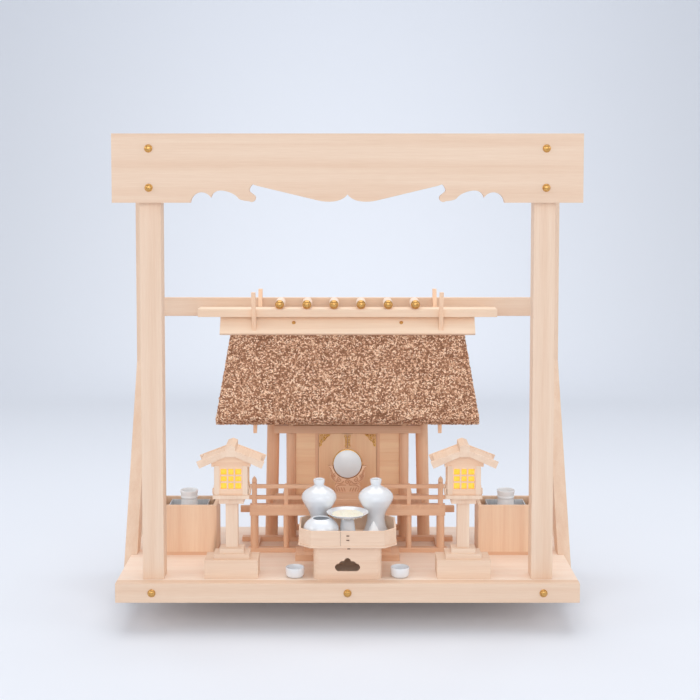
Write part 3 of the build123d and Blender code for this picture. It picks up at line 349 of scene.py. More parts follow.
grain = {
    "stretch": 0.022,  # how long the figure is along the board
    "bandScale": 60.0,
    "ringScale": 340.0,
    "fibreScale": 1500.0,
}


def planedWood(name, pale, dark, along):
    # straight-grained softwood, with its figure drawn out along one axis
    material, tree, shader = newMaterial(name, Specular_IOR_Level=0.32)
    stretched = [grain["stretch"] if letter == along else 1.0 for letter in "XYZ"]
    vector = objectPlace(tree, stretched)
    bands = spreadOut(tree, noise(tree, vector, grain["bandScale"], 2.0, 0.5, 0.2), 0.34, 0.70)
    rings = spreadOut(tree, noise(tree, vector, grain["ringScale"], 2.0, 0.6), 0.40, 0.74)
    fibre = noise(tree, vector, grain["fibreScale"], 2.0)
    figure = sumOf(tree, rings, bands, 0.45)
    colour = mixedColour(tree, spreadOut(tree, figure, 0.0, 1.6), pale, dark)
    shade = mixedColour(tree, spreadOut(tree, fibre, 0.35, 0.9), (1, 1, 1, 1), (0.93, 0.90, 0.87, 1))
    finished = mixedColour(tree, 1.0, colour, shade, "MULTIPLY")
    tree.links.new(finished, shader.inputs["Base Color"])
    glossed(tree, shader, fibre, -1.2, 1.7)
    addBump(tree, shader, sumOf(tree, fibre, rings, 0.5), 0.10, 0.0004)
    return material


woodTones = {
    "frame": (srgb(241, 215, 192), srgb(231, 197, 170)),
    # a paler copy of the frame wood: painted light from above on the shelf board's top; on the ridge logs it
    # is their paler wood
    "deck": (srgb(252, 233, 216), srgb(246, 219, 199)),
    "ridge": (srgb(250, 228, 204), srgb(243, 211, 183)),
    "shrine": (srgb(243, 203, 171), srgb(227, 175, 140)),
    # a darker copy of the shrine wood: painted shade, as in the hollows of carved grooves
    "groove": (srgb(214, 160, 126), srgb(194, 136, 102)),
    # a lighter copy of the shrine wood for the walls and doors: painted light that lifts them out of the
    # shade under the roof
    "panel": (srgb(253, 216, 177), srgb(241, 190, 149)),
    "lantern": (srgb(244, 218, 195), srgb(233, 199, 172)),
    "tray": (srgb(243, 216, 193), srgb(232, 197, 170)),
    "box": (srgb(252, 221, 192), srgb(239, 197, 165)),
}
wood = {
    tone + along: planedWood(tone + "WoodAlong" + along, pale, dark, along)
    for tone, (pale, dark) in woodTones.items()
    for along in "XYZ"
}


def makeGilt(name, bright, dull):
    material, tree, shader = newMaterial(name, Metallic=1.0)
    wear = noise(tree, objectPlace(tree), 420.0, 4.0)
    tinted(tree, shader, wear, 0.3, 0.75, bright, dull)
    glossed(tree, shader, wear, -0.35, 2.6)
    addBump(tree, shader, wear, 0.06, 0.0002)
    return material


def makePorcelain(name, colour, second, gloss):
    material, tree, shader = newMaterial(name, Roughness=gloss, Coat_Weight=0.5, Coat_Roughness=0.05)
    place = objectPlace(tree)
    cloud = noise(tree, place, 38.0, 3.0)
    tinted(tree, shader, cloud, 0.3, 0.75, colour, second)
    addBump(tree, shader, noise(tree, place, 260.0, 2.0), 0.05, 0.0003)
    return material


def makeMirrorPaintedReflection():
    # a nearly matt pale grey stands in for a polished face: painted reflection of the pale studio
    material, tree, shader = newMaterial("mirrorFace", Metallic=0.12)
    haze = noise(tree, objectPlace(tree), 60.0, 2.0)
    tinted(tree, shader, haze, 0.3, 0.75, srgb(228, 228, 229), srgb(223, 224, 225))
    glossed(tree, shader, haze, -1.1, 3.2)
    return material


def makeGlowingPaper():
    material, tree, shader = newMaterial("yellowPaper", Roughness=0.8)
    fibres = noise(tree, objectPlace(tree, (1, 0.3, 1)), 260.0, 5.0, 0.6)
    colour = tinted(tree, shader, fibres, 0.35, 0.7, srgb(255, 202, 62), srgb(255, 216, 98))
    # the emission is a painted glow, as of a light inside the lantern; there is no lamp in it
    tree.links.new(colour, shader.inputs["Emission Color"])
    shader.inputs["Emission Strength"].default_value = 0.3
    addBump(tree, shader, fibres, 0.1, 0.0003)
    return material


def makeLinerMetal():
    material, tree, shader = newMaterial("linerMetal", Metallic=0.2)
    brushed = noise(tree, objectPlace(tree, (1, 1, 0.06)), 700.0, 3.0)
    tinted(tree, shader, brushed, 0.3, 0.7, srgb(214, 217, 220), srgb(229, 231, 233))
    glossed(tree, shader, brushed, -0.9, 2.4)
    return material


def makeRice():
    settings = {"Roughness": 0.5, "Subsurface_Weight": 0.1, "Subsurface_Scale": 0.001}
    material, tree, shader = newMaterial("riceGrain", **settings)
    speck = noise(tree, objectPlace(tree), 900.0, 2.0)
    tinted(tree, shader, speck, 0.3, 0.7, srgb(250, 247, 236), srgb(236, 226, 202))
    return material


def makeSalt():
    material, tree, shader = newMaterial("packedSalt", Roughness=0.85)
    place = objectPlace(tree)
    grit = noise(tree, place, 1300.0, 3.0)
    tinted(tree, shader, grit, 0.3, 0.75, srgb(252, 252, 252), srgb(236, 240, 243))
    addBump(tree, shader, grit, 0.35, 0.0006)
    return material


def makeThatch():
    # every chip carries its own tint, from dark bark to pale wood
    material, tree, shader = newMaterial("thatchChips", Roughness=0.85, Specular_IOR_Level=0.2)
    tint = addNode(tree, "Attribute", attribute_name="tint")
    ramp = addNode(tree, "ValToRGB")
    stops = (
        (0.0, (116, 77, 57)),
        (0.22, (168, 121, 93)),
        (0.48, (204, 157, 126)),
        (0.74, (230, 190, 159)),
        (1.0, (250, 221, 194)),
    )
    while len(ramp.color_ramp.elements) < len(stops):
        ramp.color_ramp.elements.new(0.5)
    for element, (position, shade) in zip(ramp.color_ramp.elements, stops):
        element.position = position
        element.color = srgb(*shade)
    patches = noise(tree, objectPlace(tree), 26.0, 3.0)
    shreds = spreadOut(tree, noise(tree, objectPlace(tree), 620.0, 2.0), 0.42, 1.5)
    mottled = sumOf(tree, spreadOut(tree, patches, 0.3, 1.9), shreds, 0.5)
    tree.links.new(sumOf(tree, mottled, tint.outputs["Fac"], 0.7), ramp.inputs["Fac"])
    tree.links.new(ramp.outputs["Color"], shader.inputs["Base Color"])
    addBump(tree, shader, noise(tree, objectPlace(tree), 1100.0, 3.0), 0.3, 0.0006)
    return material


def makeStitch():
    material, tree, shader = newMaterial("barkStitch", Roughness=0.6)
    streak = noise(tree, objectPlace(tree, (0.2, 1, 1)), 1500.0, 2.0)
    colour = mixedColour(tree, streak, srgb(62, 34, 24), srgb(98, 58, 40))
    tree.links.new(colour, shader.inputs["Base Color"])
    return material


gilt = makeGilt("giltMetal", srgb(255, 226, 150), srgb(238, 194, 112))
# a darker copy of the gilt for the studs, log caps and mirror rim: painted dark reflections of the room in
# front of them
turnedGilt = makeGilt("turnedGilt", srgb(226, 180, 112), srgb(192, 142, 78))
porcelain = makePorcelain("whitePorcelain", srgb(237, 240, 244), srgb(229, 233, 238), 0.12)
vaseGlaze = makePorcelain("vaseGlaze", srgb(250, 251, 252), srgb(238, 240, 242), 0.25)
mirrorFace = makeMirrorPaintedReflection()
paper = makeGlowingPaper()
linerMetal = makeLinerMetal()
riceGrain = makeRice()
packedSalt = makeSalt()
thatchChips = makeThatch()
barkStitch = makeStitch()
print("stage: materials made")


# Boards that keep the frame's shape, with their edges eased

plainBoards = {  # tone, run of the grain and eased edge
    # the shelf board takes the paler tone as painted light falling on its top
    "shelf_board": ("deck", "X", 0.8),
    "shelf_front_board": ("frame", "X", 0.8),
    "front_posts": ("frame", "Z", 0.8),
    "back_posts": ("frame", "Z", 0.8),
    "braces": ("frame", "Z", 0.8),
    "fascia_board": ("frame", "X", 0.7),
    "cross_beams": ("shrine", "X", 0.3),
    "side_beams": ("shrine", "Y", 0.3),
    "platform_posts": ("shrine", "Z", 0.2),
    "veranda_floor": ("shrine", "Y", 0.3),
    "stair": ("shrine", "X", 0.5),
    "corner_columns": ("shrine", "Z", 0.2),
    "ridge_columns": ("shrine", "Z", 0.2),
    "eave_beams": ("shrine", "X", 0.4),
    "ridge_beam": ("shrine", "X", 0.4),
    "bargeboards": ("shrine", "Y", 0.4),
    "ridge_slope_boards": ("ridge", "X", 0.4),
    "ridge_cover": ("ridge", "X", 0.5),
    "ridge_logs": ("deck", "Y", 0.3),
    "ridge_horns": ("box", "Z", 0.4),
    "mirror_plinth": ("shrine", "X", 0.5),
    "lantern_bases": ("lantern", "X", 0.5),
    "lantern_shafts": ("lantern", "Z", 0.4),
    "lantern_roofs": ("lantern", "Y", 0.4),
    # the doors take the lighter wall tone: painted light against the shade under the roof
    "left_door": ("panel", "Z", 0.3),
    "right_door": ("panel", "Z", 0.3),
    "door_frame": ("shrine", "Z", 0.3),
    "front_railings": ("shrine", "X", 0.3),
    "tie_rails": ("frame", "X", 0.6),
    "offering_tray": ("tray", "X", 0.25),
    "tray_foot": ("tray", "X", 0.4),
}
anywhere = (-farOff, farOff)
turnedGrain = {  # where the grain runs another way: its axis, and boxes round those faces
    "front_railings": ("Z", [
        ((46.9, 54.1), anywhere, (117, 145.4)),
        ((104.4, 111.6), anywhere, (117, 145.4)),
        ((159, 169), anywhere, anywhere),
    ]),
    "tie_rails": ("Y", [((336.5, 366), (-150, 171), (671, 703))]),
    "door_frame": ("X", [((0, 53), anywhere, (116, 124))]),
}


def inRange(place, limits):
    return all(low * mm <= value <= high * mm for value, (low, high) in zip(place, limits))


def grainWhere(piece, material, *boxes):
    # the faces whose middles lie in one of the boxes get another run of grain
    piece.data.materials.append(material)
    slot = len(piece.data.materials) - 1
    for face in piece.data.polygons:
        middle = (abs(face.center.x), face.center.y, face.center.z)
        if any(inRange(middle, box) for box in boxes):
            face.material_index = slot


for node, (tone, along, ease) in plainBoards.items():
    piece = mergedCopy(node)
    eased(piece, ease)
    dressed(piece, wood[tone + along], slotOfNode[node], node)
    if node in turnedGrain:
        across, places = turnedGrain[node]
        grainWhere(piece, wood[tone + across], *places)
print("stage: plain boards eased")


# Planked walls

walls = {"plankHeight": 60, "floorTop": 117, "planks": 5, "ease": 0.35}


def plankedWalls(node, along):
    piece = mergedCopy(node)
    seams = [walls["floorTop"] + walls["plankHeight"] * count for count in range(1, walls["planks"])]
    piece = sawn(piece, "Z", seams)
    eased(piece, walls["ease"])
    # the walls take the lighter tone: painted light against the shade under the roof
    dressed(piece, wood["panel" + along], "shrine_wood", node)


plankedWalls("front_walls", "X")
plankedWalls("back_walls", "X")
plankedWalls("side_walls", "Y")
print("stage: walls planked")


# Gilt studs and log caps

studs = {
    "profile": [
        (6.5, 0), (6.5, 0.7), (5.9, 1.1), (5.5, 1.2), (5.4, 2.4), (4.7, 3.6), (3.3, 4.6), (1.7, 5.0),
        (0, 5.1),
    ],
    "fasciaX": 319.5, "fasciaY": -160, "fasciaZ": (676, 739), "shelfY": -170, "shelfZ": 16,
    "smallX": 98, "smallY": 104.9, "smallZ": 427.4, "smallSize": 0.52, "pitch": 54.5,
}
caps = {
    "profile": [
        (8.2, 0), (8.4, 0.5), (8.2, 1.0), (7.9, 1.3), (7.7, 2.6), (6.9, 4.2), (5.4, 5.6), (3.2, 6.6),
        (1.2, 6.95), (0, 7.0),
    ],
    "spacing": 49.2, "logCount": 6, "front": 92, "back": 142, "z": 461.75,
}


def knob(name, profile, place, turn, size=1.0):
    # a turned knob whose back sits at its place, turned to face outwards
    smooth = [(radius * size, rise * size) for radius, rise in throughPoints(profile, 3)]
    piece = spun(name, (0, 0, 0), smooth, turns=40)
    piece.rotation_euler = (math.radians(turn), 0, 0)
    piece.location = Vector(place) * mm
    settle(piece)
    return piece


def fromMaster(master, places):
    return [copied(master, Vector(place) - Vector(places[0])) for place in places[1:]] + [master]


studPlaces = [(side * studs["fasciaX"], studs["fasciaY"], z) for side in (-1, 1) for z in studs["fasciaZ"]]
studPlaces += [(side * studs["fasciaX"], studs["shelfY"], studs["shelfZ"]) for side in (-1, 0, 1)]
stud = knob("frameStud", studs["profile"], studPlaces[0], 90)
dressed(joined("frameStuds", fromMaster(stud, studPlaces)), turnedGilt, "gilt_metal", "frame_studs")

smallPlaces = [(side * studs["smallX"], studs["smallY"], studs["smallZ"]) for side in (-1, 1)]
small = knob("slopeStud", studs["profile"], smallPlaces[0], studs["pitch"], studs["smallSize"])
dressed(joined("slopeStuds", fromMaster(small, smallPlaces)), turnedGilt, "gilt_metal")

logPlaces = [(index - (caps["logCount"] - 1) / 2) * caps["spacing"] for index in range(caps["logCount"])]
frontCap = knob("frontCap", caps["profile"], (logPlaces[0], caps["front"], caps["z"]), 90)
backCap = knob("backCap", caps["profile"], (logPlaces[0], caps["back"], caps["z"]), -90)
frontCaps = fromMaster(frontCap, [(x, caps["front"], caps["z"]) for x in logPlaces])
backCaps = fromMaster(backCap, [(x, caps["back"], caps["z"]) for x in logPlaces])
dressed(joined("logCaps", frontCaps + backCaps), turnedGilt, "gilt_metal", "log_caps")
print("stage: studs and log caps turned")


# Thatch

thatch = {
    "chipLength": 3.9, "chipWidth": 1.8, "chipThick": 0.75, "tipWidth": 0.45, "tipThick": 0.6,
    "perSquareMetre": 147000, "tilt": 0.32, "sizes": (0.65, 1.35), "ease": 2.0,
    "slabs": {"front_thatch": (3, ("Y", "LESS_THAN", 0.5)), "back_thatch": (11, ("Y", "GREATER_THAN", -0.5))},
}


def makeChip():
    size = Vector((thatch["chipLength"], thatch["chipWidth"], thatch["chipThick"])) * mm
    bpy.ops.mesh.primitive_cube_add(size=1)
    chip = bpy.context.object
    chip.name = "chipPattern"
    chip.scale = size
    settle(chip)
    for vertex in chip.data.vertices:
        if vertex.co.x > 0:  # the far end narrows to a split tip
            vertex.co.y *= thatch["tipWidth"]
            vertex.co.z *= thatch["tipThick"]
    return chip


def strewn(piece, pattern, spread, seed, keep):
    # strews copies of a small shape over a piece, each turned, sized and tinted its own way;
    # keep names the part of a face's normal that is tested, the test and its limit
    axis, test, limit = keep
    tilt, (smallest, largest) = spread["tilt"], spread["sizes"]
    tree = bpy.data.node_groups.new(piece.name + "Strewn", "GeometryNodeTree")
    tree.interface.new_socket("Geometry", in_out="INPUT", socket_type="NodeSocketGeometry")
    tree.interface.new_socket("Geometry", in_out="OUTPUT", socket_type="NodeSocketGeometry")

    def geo(kind, values=None, **options):
        node = tree.nodes.new(kind)
        for option, value in options.items():
            setattr(node, option, value)
        for socket, value in (values or {}).items():
            node.inputs[socket].default_value = value
        return node

    link = tree.links.new
    start = tree.nodes.new("NodeGroupInput")
    end = tree.nodes.new("NodeGroupOutput")
    normal = geo("GeometryNodeInputNormal")
    parts = geo("ShaderNodeSeparateXYZ")
    chosen = geo("FunctionNodeCompare", {1: limit}, data_type="FLOAT", operation=test)
    points = geo("GeometryNodeDistributePointsOnFaces", {"Density": spread["perSquareMetre"], "Seed": seed})
    info = geo("GeometryNodeObjectInfo", {"Object": pattern})
    placed = geo("GeometryNodeInstanceOnPoints")
    turned = geo("GeometryNodeRotateInstances", {"Local Space": True})
    turns = {0: (-tilt, -tilt, 0), 1: (tilt, tilt, math.tau), "Seed": seed + 1}
    turn = geo("FunctionNodeRandomValue", turns, data_type="FLOAT_VECTOR")
    scale = geo("FunctionNodeRandomValue", {2: smallest, 3: largest, "Seed": seed + 2}, data_type="FLOAT")
    tint = geo("FunctionNodeRandomValue", {2: 0.0, 3: 1.0, "Seed": seed + 3}, data_type="FLOAT")
    stored = geo("GeometryNodeStoreNamedAttribute", {"Name": "tint"}, data_type="FLOAT", domain="INSTANCE")
    real = geo("GeometryNodeRealizeInstances")
    both = geo("GeometryNodeJoinGeometry")
    link(normal.outputs[0], parts.inputs[0])
    link(parts.outputs[axis], chosen.inputs[0])
    link(start.outputs[0], points.inputs["Mesh"])
    link(chosen.outputs[0], points.inputs["Selection"])
    link(points.outputs["Points"], placed.inputs["Points"])
    link(points.outputs["Rotation"], placed.inputs["Rotation"])
    link(info.outputs["Geometry"], placed.inputs["Instance"])
    link(scale.outputs[1], placed.inputs["Scale"])
    link(placed.outputs[0], turned.inputs["Instances"])
    link(turn.outputs[0], turned.inputs["Rotation"])
    link(turned.outputs[0], stored.inputs["Geometry"])
    link(tint.outputs[1], stored.inputs["Value"])
    link(stored.outputs[0], real.inputs[0])
    link(start.outputs[0], both.inputs[0])
    link(real.outputs[0], both.inputs[0])
    link(both.outputs[0], end.inputs[0])
    pickUp(piece)
    modifier = piece.modifiers.new("Strewn", "NODES")
    modifier.node_group = tree
    bpy.ops.object.modifier_apply(modifier=modifier.name)


chip = makeChip()
for node, (seed, keep) in thatch["slabs"].items():
    slab = mergedCopy(node)
    eased(slab, thatch["ease"])
    strewn(slab, chip, thatch, seed, keep)
    dressed(slab, thatchChips, "thatch", node)
    print("stage:", node, len(slab.data.polygons), "faces")
bpy.data.objects.remove(chip)


# White porcelain, each turned from its own profile

pots = {
    "bottles": {
        "foot": [(48, -80, 91), (-48, -80, 91)],
        "tall": 0.974,
        "profile": [
            (0, 1.6), (12, 1.6), (19.5, 1.2), (21, 0), (23, 0.2), (22.8, 1.6), (19.2, 8), (15.8, 20),
            (15.2, 30), (18.5, 40), (25.5, 52), (29.2, 60), (29.5, 64.5), (27.5, 70), (21.5, 76.3),
            (13.5, 80.6), (9.2, 83.4), (8.2, 85.4), (8.9, 87.6), (9.5, 90), (9.6, 93.2), (9.1, 94.8),
            (7.9, 95.0), (6.6, 94.2), (6.1, 91), (5.9, 86), (7, 82), (19, 74), (26.6, 66), (26.8, 60),
            (22, 50), (15, 38), (12, 30), (12.6, 18), (9, 8), (0, 6.5),
        ],
    },
    "jar": {
        "foot": [(-43.8, -128, 91)],
        "profile": [
            (0, 1.4), (12.4, 1.4), (13.2, 0), (15, 0.1), (15.8, 1.7), (22, 6), (27.6, 12.4),
            (29.3, 19.5), (28.2, 26), (24.2, 32), (18.8, 36.4), (15.9, 37.8), (14.8, 38.5),
            (13.6, 38.2), (13.2, 36.8), (15.6, 35), (22.4, 30), (26, 24.6), (26.9, 19.5), (25.2, 13),
            (20, 7.6), (10, 4.6), (0, 4.2),
        ],
    },
    "riceDish": {
        "foot": [(0, -115.5, 91)],
        "profile": [
            (0, 22), (8.2, 21.6), (10.4, 14), (13.2, 1), (14, 0), (16, 0.1), (16.2, 1.6), (14.8, 6),
            (13.4, 14), (11.6, 26), (11, 32.6), (13, 35.4), (18.8, 37.2), (25.5, 39.4), (31.2, 42.6),
            (34.6, 45), (35, 45.5), (34, 45.5), (29.4, 43.2), (24.4, 40.9), (18, 38.9), (9, 37.9),
            (0, 37.6),
        ],
    },
    "saltDish": {
        "foot": [(43, -130.5, 91)],
        "profile": [
            (0, 1.3), (12, 1.3), (13.6, 0), (16, 0.1), (16.4, 1.6), (21.4, 4.2), (25.4, 7), (26.5, 8),
            (25.3, 8.1), (21, 6.2), (15, 4.2), (8, 3.4), (0, 3.2),
        ],
    },
    "cups": {
        "foot": [(87, -132, 32), (-87, -132, 32)],
        "tall": 1.1,
        "profile": [
            (0, 1.1), (8.6, 1.1), (9.4, 0), (11, 0.1), (12.8, 0.8), (14.7, 2.8), (15.4, 6), (15.7, 11),
            (15.7, 14.2), (15.1, 15), (14.3, 14.7), (13.7, 12), (13.5, 6), (12.4, 3.8), (9, 2.8),
            (0, 2.6),
        ],
    },
    "vases": {
        "foot": [(280.5, 23, 39.5), (-280.5, 23, 39.5)],
        "profile": [
            (0, 2), (9.6, 2), (10.6, 0), (13, 0.2), (13.4, 3), (14.6, 14), (16.8, 32), (17.5, 45),
            (17, 60), (15.2, 76), (14.4, 83), (14.3, 85.4), (15.2, 87.4), (15.2, 88.8), (14.4, 90.4),
            (15, 94), (16, 98.6), (15.6, 100), (14.4, 99.6), (12.8, 94), (12.2, 86), (13.2, 74),
            (15, 58), (15.2, 45), (14, 30), (12, 12), (8, 6), (0, 5.4),
        ],
    },
}


def thrownPot(name, pot):
    x, y, z = pot["foot"][0]
    profile = throughPoints(pot["profile"], 3)
    profile = [(max(radius, 0), height * pot.get("tall", 1)) for radius, height in profile]
    piece = spun(name, (x, y, z), profile, turns=72)
    return joined(name, fromMaster(piece, pot["foot"]))


dressed(thrownPot("sakeBottles", pots["bottles"]), porcelain, "white_porcelain", "sake_bottles")
dressed(thrownPot("waterJar", pots["jar"]), porcelain, "white_porcelain", "water_jar")
dressed(thrownPot("riceDish", pots["riceDish"]), porcelain, "white_porcelain", "rice_dish")
dressed(thrownPot("saltDish", pots["saltDish"]), porcelain, "white_porcelain", "salt_dish")
dressed(thrownPot("waterCups", pots["cups"]), porcelain, "white_porcelain", "water_cups")
dressed(thrownPot("boxVases", pots["vases"]), vaseGlaze, "white_porcelain", "vases")
print("stage: porcelain turned")


# Rice and salt

rice = {
    "centre": (0, -115.5, 91), "grainSize": (2.7, 1.1, 0.95), "perSquareMetre": 330000, "seed": 5,
    "tilt": 0.5, "sizes": (0.8, 1.1), "keep": ("Z", "GREATER_THAN", 0.2),
    "heap": [
        (0, 44.6), (9, 44.2), (17, 43.1), (22, 42.0), (26, 40.8), (25.4, 40.2), (14, 38.8), (0, 38.4),
    ],
}
salt = {
    "centre": (43, -130.5, 91), "roughness": 0.22, "gritScale": 0.0022,
    "profile": [
        (0, 3.4), (10, 3.6), (15.2, 4.5), (15.5, 5.0), (14.9, 6.0), (9.8, 15.6), (4.8, 25.2),
        (1.4, 31.8), (0.7, 32.8), (0, 33),
    ],
}

heap = spun("riceHeap", rice["centre"], throughPoints(rice["heap"], 3), turns=48)
bpy.ops.mesh.primitive_uv_sphere_add(segments=8, ring_count=5, radius=mm)
grainShape = bpy.context.object
grainShape.scale = rice["grainSize"]
settle(grainShape)
smoothed(grainShape, 70)
strewn(heap, grainShape, rice, rice["seed"], rice["keep"])
bpy.data.objects.remove(grainShape)
dressed(heap, riceGrain, "rice_grain", "rice")

cone = spun("saltCone", salt["centre"], throughPoints(salt["profile"], 5), turns=64)
gritTexture = bpy.data.textures.new("saltGrit", "CLOUDS")
gritTexture.noise_scale = salt["gritScale"]
gritDepth = salt["roughness"] * mm * 2
useModifier(
    cone, "DISPLACE", texture=gritTexture, texture_coords="OBJECT", strength=gritDepth, mid_level=0.5
)
dressed(cone, packedSalt, "packed_salt", "salt_cone")
print("stage: rice and salt")


# Mirror on its carved stand

mirror = {
    "centre": (0, 14, 187.7), "radius": 24.5, "rimRadius": 26.2, "front": 11, "back": 14, "rimBack": 16,
    "edge": 1.6, "edgeSlope": 0.7, "rimBackEase": 0.5, "rimFrontEase": 0.6, "turns": 96,
}
stand = {
    "ease": 0.7, "lineY": 10.3, "lineRadius": 0.75,
    # the carved lines of one side, by their points' distances outwards and up
    "feathers": [
        [(32, 182.6), (27.8, 176.5), (25.4, 170), (21, 164.5)],
        [(29.6, 177), (28.4, 171), (26.4, 165.4), (22.2, 161)],
        [(29.2, 168.4), (26.4, 162.4), (22.4, 158.6), (18, 157.6)],
    ],
    "scrolls": [(14.2, 160.5, 4.6, 1.3, 90), (23.5, 167.5, 3.6, 1.2, 60)],  # then radius, turns, start
    "middleScroll": (156.5, 5.4, 1.6, -60),
    "folds": [
        [(17.4, 154.5), (14, 153), (9.5, 154.6), (6.4, 158.2)],
        [(20, 147.6), (15.5, 150.4), (9, 151), (3, 150.6)],
    ],
    "strokes": 4, "firstStroke": 4, "strokeSpacing": 4.6, "strokeLean": 2.6, "strokeZ": (139.6, 146.4),
}


def facingFront(piece, centre):
    # turns a piece that was spun about an upright line so that its top faces the front
    piece.rotation_euler = (math.pi / 2, 0, 0)
    piece.location = Vector(centre) * mm
    settle(piece)
    return piece


def makeMirror():
    radius, edge = mirror["radius"], mirror["edge"]
    thick = mirror["back"] - mirror["front"]
    x, y, z = mirror["centre"]
    slope = edge * mirror["edgeSlope"]
    face = [(0, 0), (radius, 0), (radius, thick - slope), (radius - edge, thick), (0, thick)]
    disc = spun("mirrorDisc", (0, 0, 0), face, mirror["turns"])
    dressed(facingFront(disc, (x, mirror["back"], z)), mirrorFace, "mirror_face", "mirror_disc")
    rim, deep = mirror["rimRadius"], mirror["rimBack"] - mirror["back"]
    rear, fore = mirror["rimBackEase"], mirror["rimFrontEase"]
    hoop = [(0, 0), (rim - rear, 0), (rim, rear), (rim, deep - fore), (rim - fore, deep), (0, deep)]
    ring = spun("mirrorRim", (0, 0, 0), hoop, mirror["turns"])
    dressed(facingFront(ring, (x, mirror["rimBack"], z)), turnedGilt, "gilt_metal", "mirror_rim")


def carvedLines():
    y = stand["lineY"]
    low, high = stand["strokeZ"]
    lines = []
    for side in (-1, 1):
        for points in stand["feathers"]:
            lines.append(throughPoints([(side * out, y, z) for out, z in points], 5))
        for out, z, radius, turns, start in stand["scrolls"]:
            lines.append(spiral((side * out, y, z), radius, turns, -side, start))
        for points in stand["folds"]:
            lines.append(throughPoints([(side * out, y, z) for out, z in points], 5))
        for step in range(stand["strokes"]):
            foot = stand["firstStroke"] + step * stand["strokeSpacing"]
            lines.append([(side * foot, y, low), (side * (foot + stand["strokeLean"]), y, high)])
    z, radius, turns, start = stand["middleScroll"]
    lines.append(spiral((0, y, z), radius, turns, 1, start))
    return lines


def makeStand():
    clouds = mergedCopy("mirror_stand")
    eased(clouds, stand["ease"])
    clouds.data.materials.append(wood["shrineX"])
    wires = [wire("carvedLine", points, stand["lineRadius"]) for points in carvedLines()]
    carving = joined("carvedLines", wires)
    carving.data.materials.clear()
    # the raised lines take the darker tone as painted shade of carved grooves
    carving.data.materials.append(wood["grooveX"])
    dressed(joined("mirrorStand", [clouds, carving]), None, "shrine_wood", "mirror_stand")


makeMirror()
makeStand()
print("stage: mirror and stand")


# Gilt openwork on the doors

fittings = {
    "wire": 0.72, "stripWire": 0.648, "turns": 1.35, "flatness": 0.7,
    "corner": {
        "out": 50.4, "top": 227.4, "wide": 19, "drop": 22, "face": 74.6,
        "edge": ((13, 4.4), (9.6, 10), (4.4, 13.4)),  # inwards and down from the corner
        "scrolls": (  # inwards, down, radius and way
            (3.2, 3.2, 2.9, 1), (8.6, 2.9, 2.5, -1), (13.4, 2.3, 1.9, 1), (3.0, 8.8, 2.6, -1),
            (2.8, 14.2, 2.1, 1), (7.6, 7.4, 2.2, 1), (2.2, 18.6, 1.5, -1), (16.6, 1.5, 1.1, -1),
        ),
    },
    "strip": {
        "in": 0.9, "out": 5.4, "top": 227.0, "drop": 22.4, "face": 72.2,
        "topHook": 3.4, "lowHook": 3.2, "lowShort": 2.4,
        "scrolls": (  # across, down, radius and way
            (3.2, 4.2, 2.1, 1), (3.3, 8.8, 1.9, -1), (2.9, 13.2, 2.0, 1), (3.3, 17.6, 1.9, -1),
        ),
    },
}


def pressedWires(name, lines, radius, face):
    # wires pressed flatter towards the board that they lie on
    share = fittings["flatness"]
    pieces = []
    for points in lines:
        piece = wire(name, points, radius)
        piece.location.y = face * mm * (1 - share)
        piece.scale.y = share
        settle(piece)
        pieces.append(piece)
    return pieces


def cornerPlate():
    corner = fittings["corner"]
    out, top, y = corner["out"], corner["top"], corner["face"]
    innerEnd, lowerEnd = (out - corner["wide"], y, top), (out, y, top - corner["drop"])
    edge = [(out - inwards, y, top - down) for inwards, down in corner["edge"]]
    lines = [[innerEnd, (out, y, top), lowerEnd], throughPoints([innerEnd, *edge, lowerEnd], 5)]
    for inwards, down, radius, way in corner["scrolls"]:
        centre = (out - inwards, y, top - down)
        lines.append(spiral(centre, radius, fittings["turns"], way, 45 * way))
    return pressedWires("cornerScroll", lines, fittings["wire"], y)


def stripPlate():
    strip = fittings["strip"]
    near, out, top, y = strip["in"], strip["out"], strip["top"], strip["face"]
    low = top - strip["drop"]
    lines = [
        [(near, y, top), (out, y, top), (out, y, top - strip["topHook"])],
        [(near, y, low), (out - strip["lowShort"], y, low), (out, y, low + strip["lowHook"])],
    ]
    for across, down, radius, way in strip["scrolls"]:
        lines.append(spiral((across, y, top - down), radius, fittings["turns"], way, 90 * way))
    return pressedWires("stripScroll", lines, fittings["stripWire"], y)


rightOpenwork = joined("rightDoorOpenwork", cornerPlate() + stripPlate())
leftOpenwork = mirroredCopy(rightOpenwork)
leftOpenwork.name = "leftDoorOpenwork"
dressed(rightOpenwork, gilt, "gilt_metal", "right_door_fittings")
dressed(leftOpenwork, gilt, "gilt_metal", "left_door_fittings")
print("stage: door fittings")


# Lanterns

lantern = {
    "x": 191.75, "y": -121, "halfWide": 26.5, "halfDeep": 20, "bottom": 170.9, "top": 219.9,
    "post": 8.4, "proud": 1.0, "ease": 0.5, "barEase": 0.2, "shellEase": 0.3,
    "windowHalf": 17, "sideWindowHalf": 12, "windowBottom": 181, "windowTop": 214.4, "windowInset": 2,
    "bar": 2.6, "barDeep": 2.2, "levelBarSunk": 0.3,
    "railSteps": ((31.3, 9.6, 0.9), (28.9, 14.6, 0.7)),  # reach, rise and eased edge
    "railY": 11, "railHalf": 3, "plateReach": 32.2, "plateInset": 3.4, "plateLow": 2.2, "plateHigh": 4.2,
}


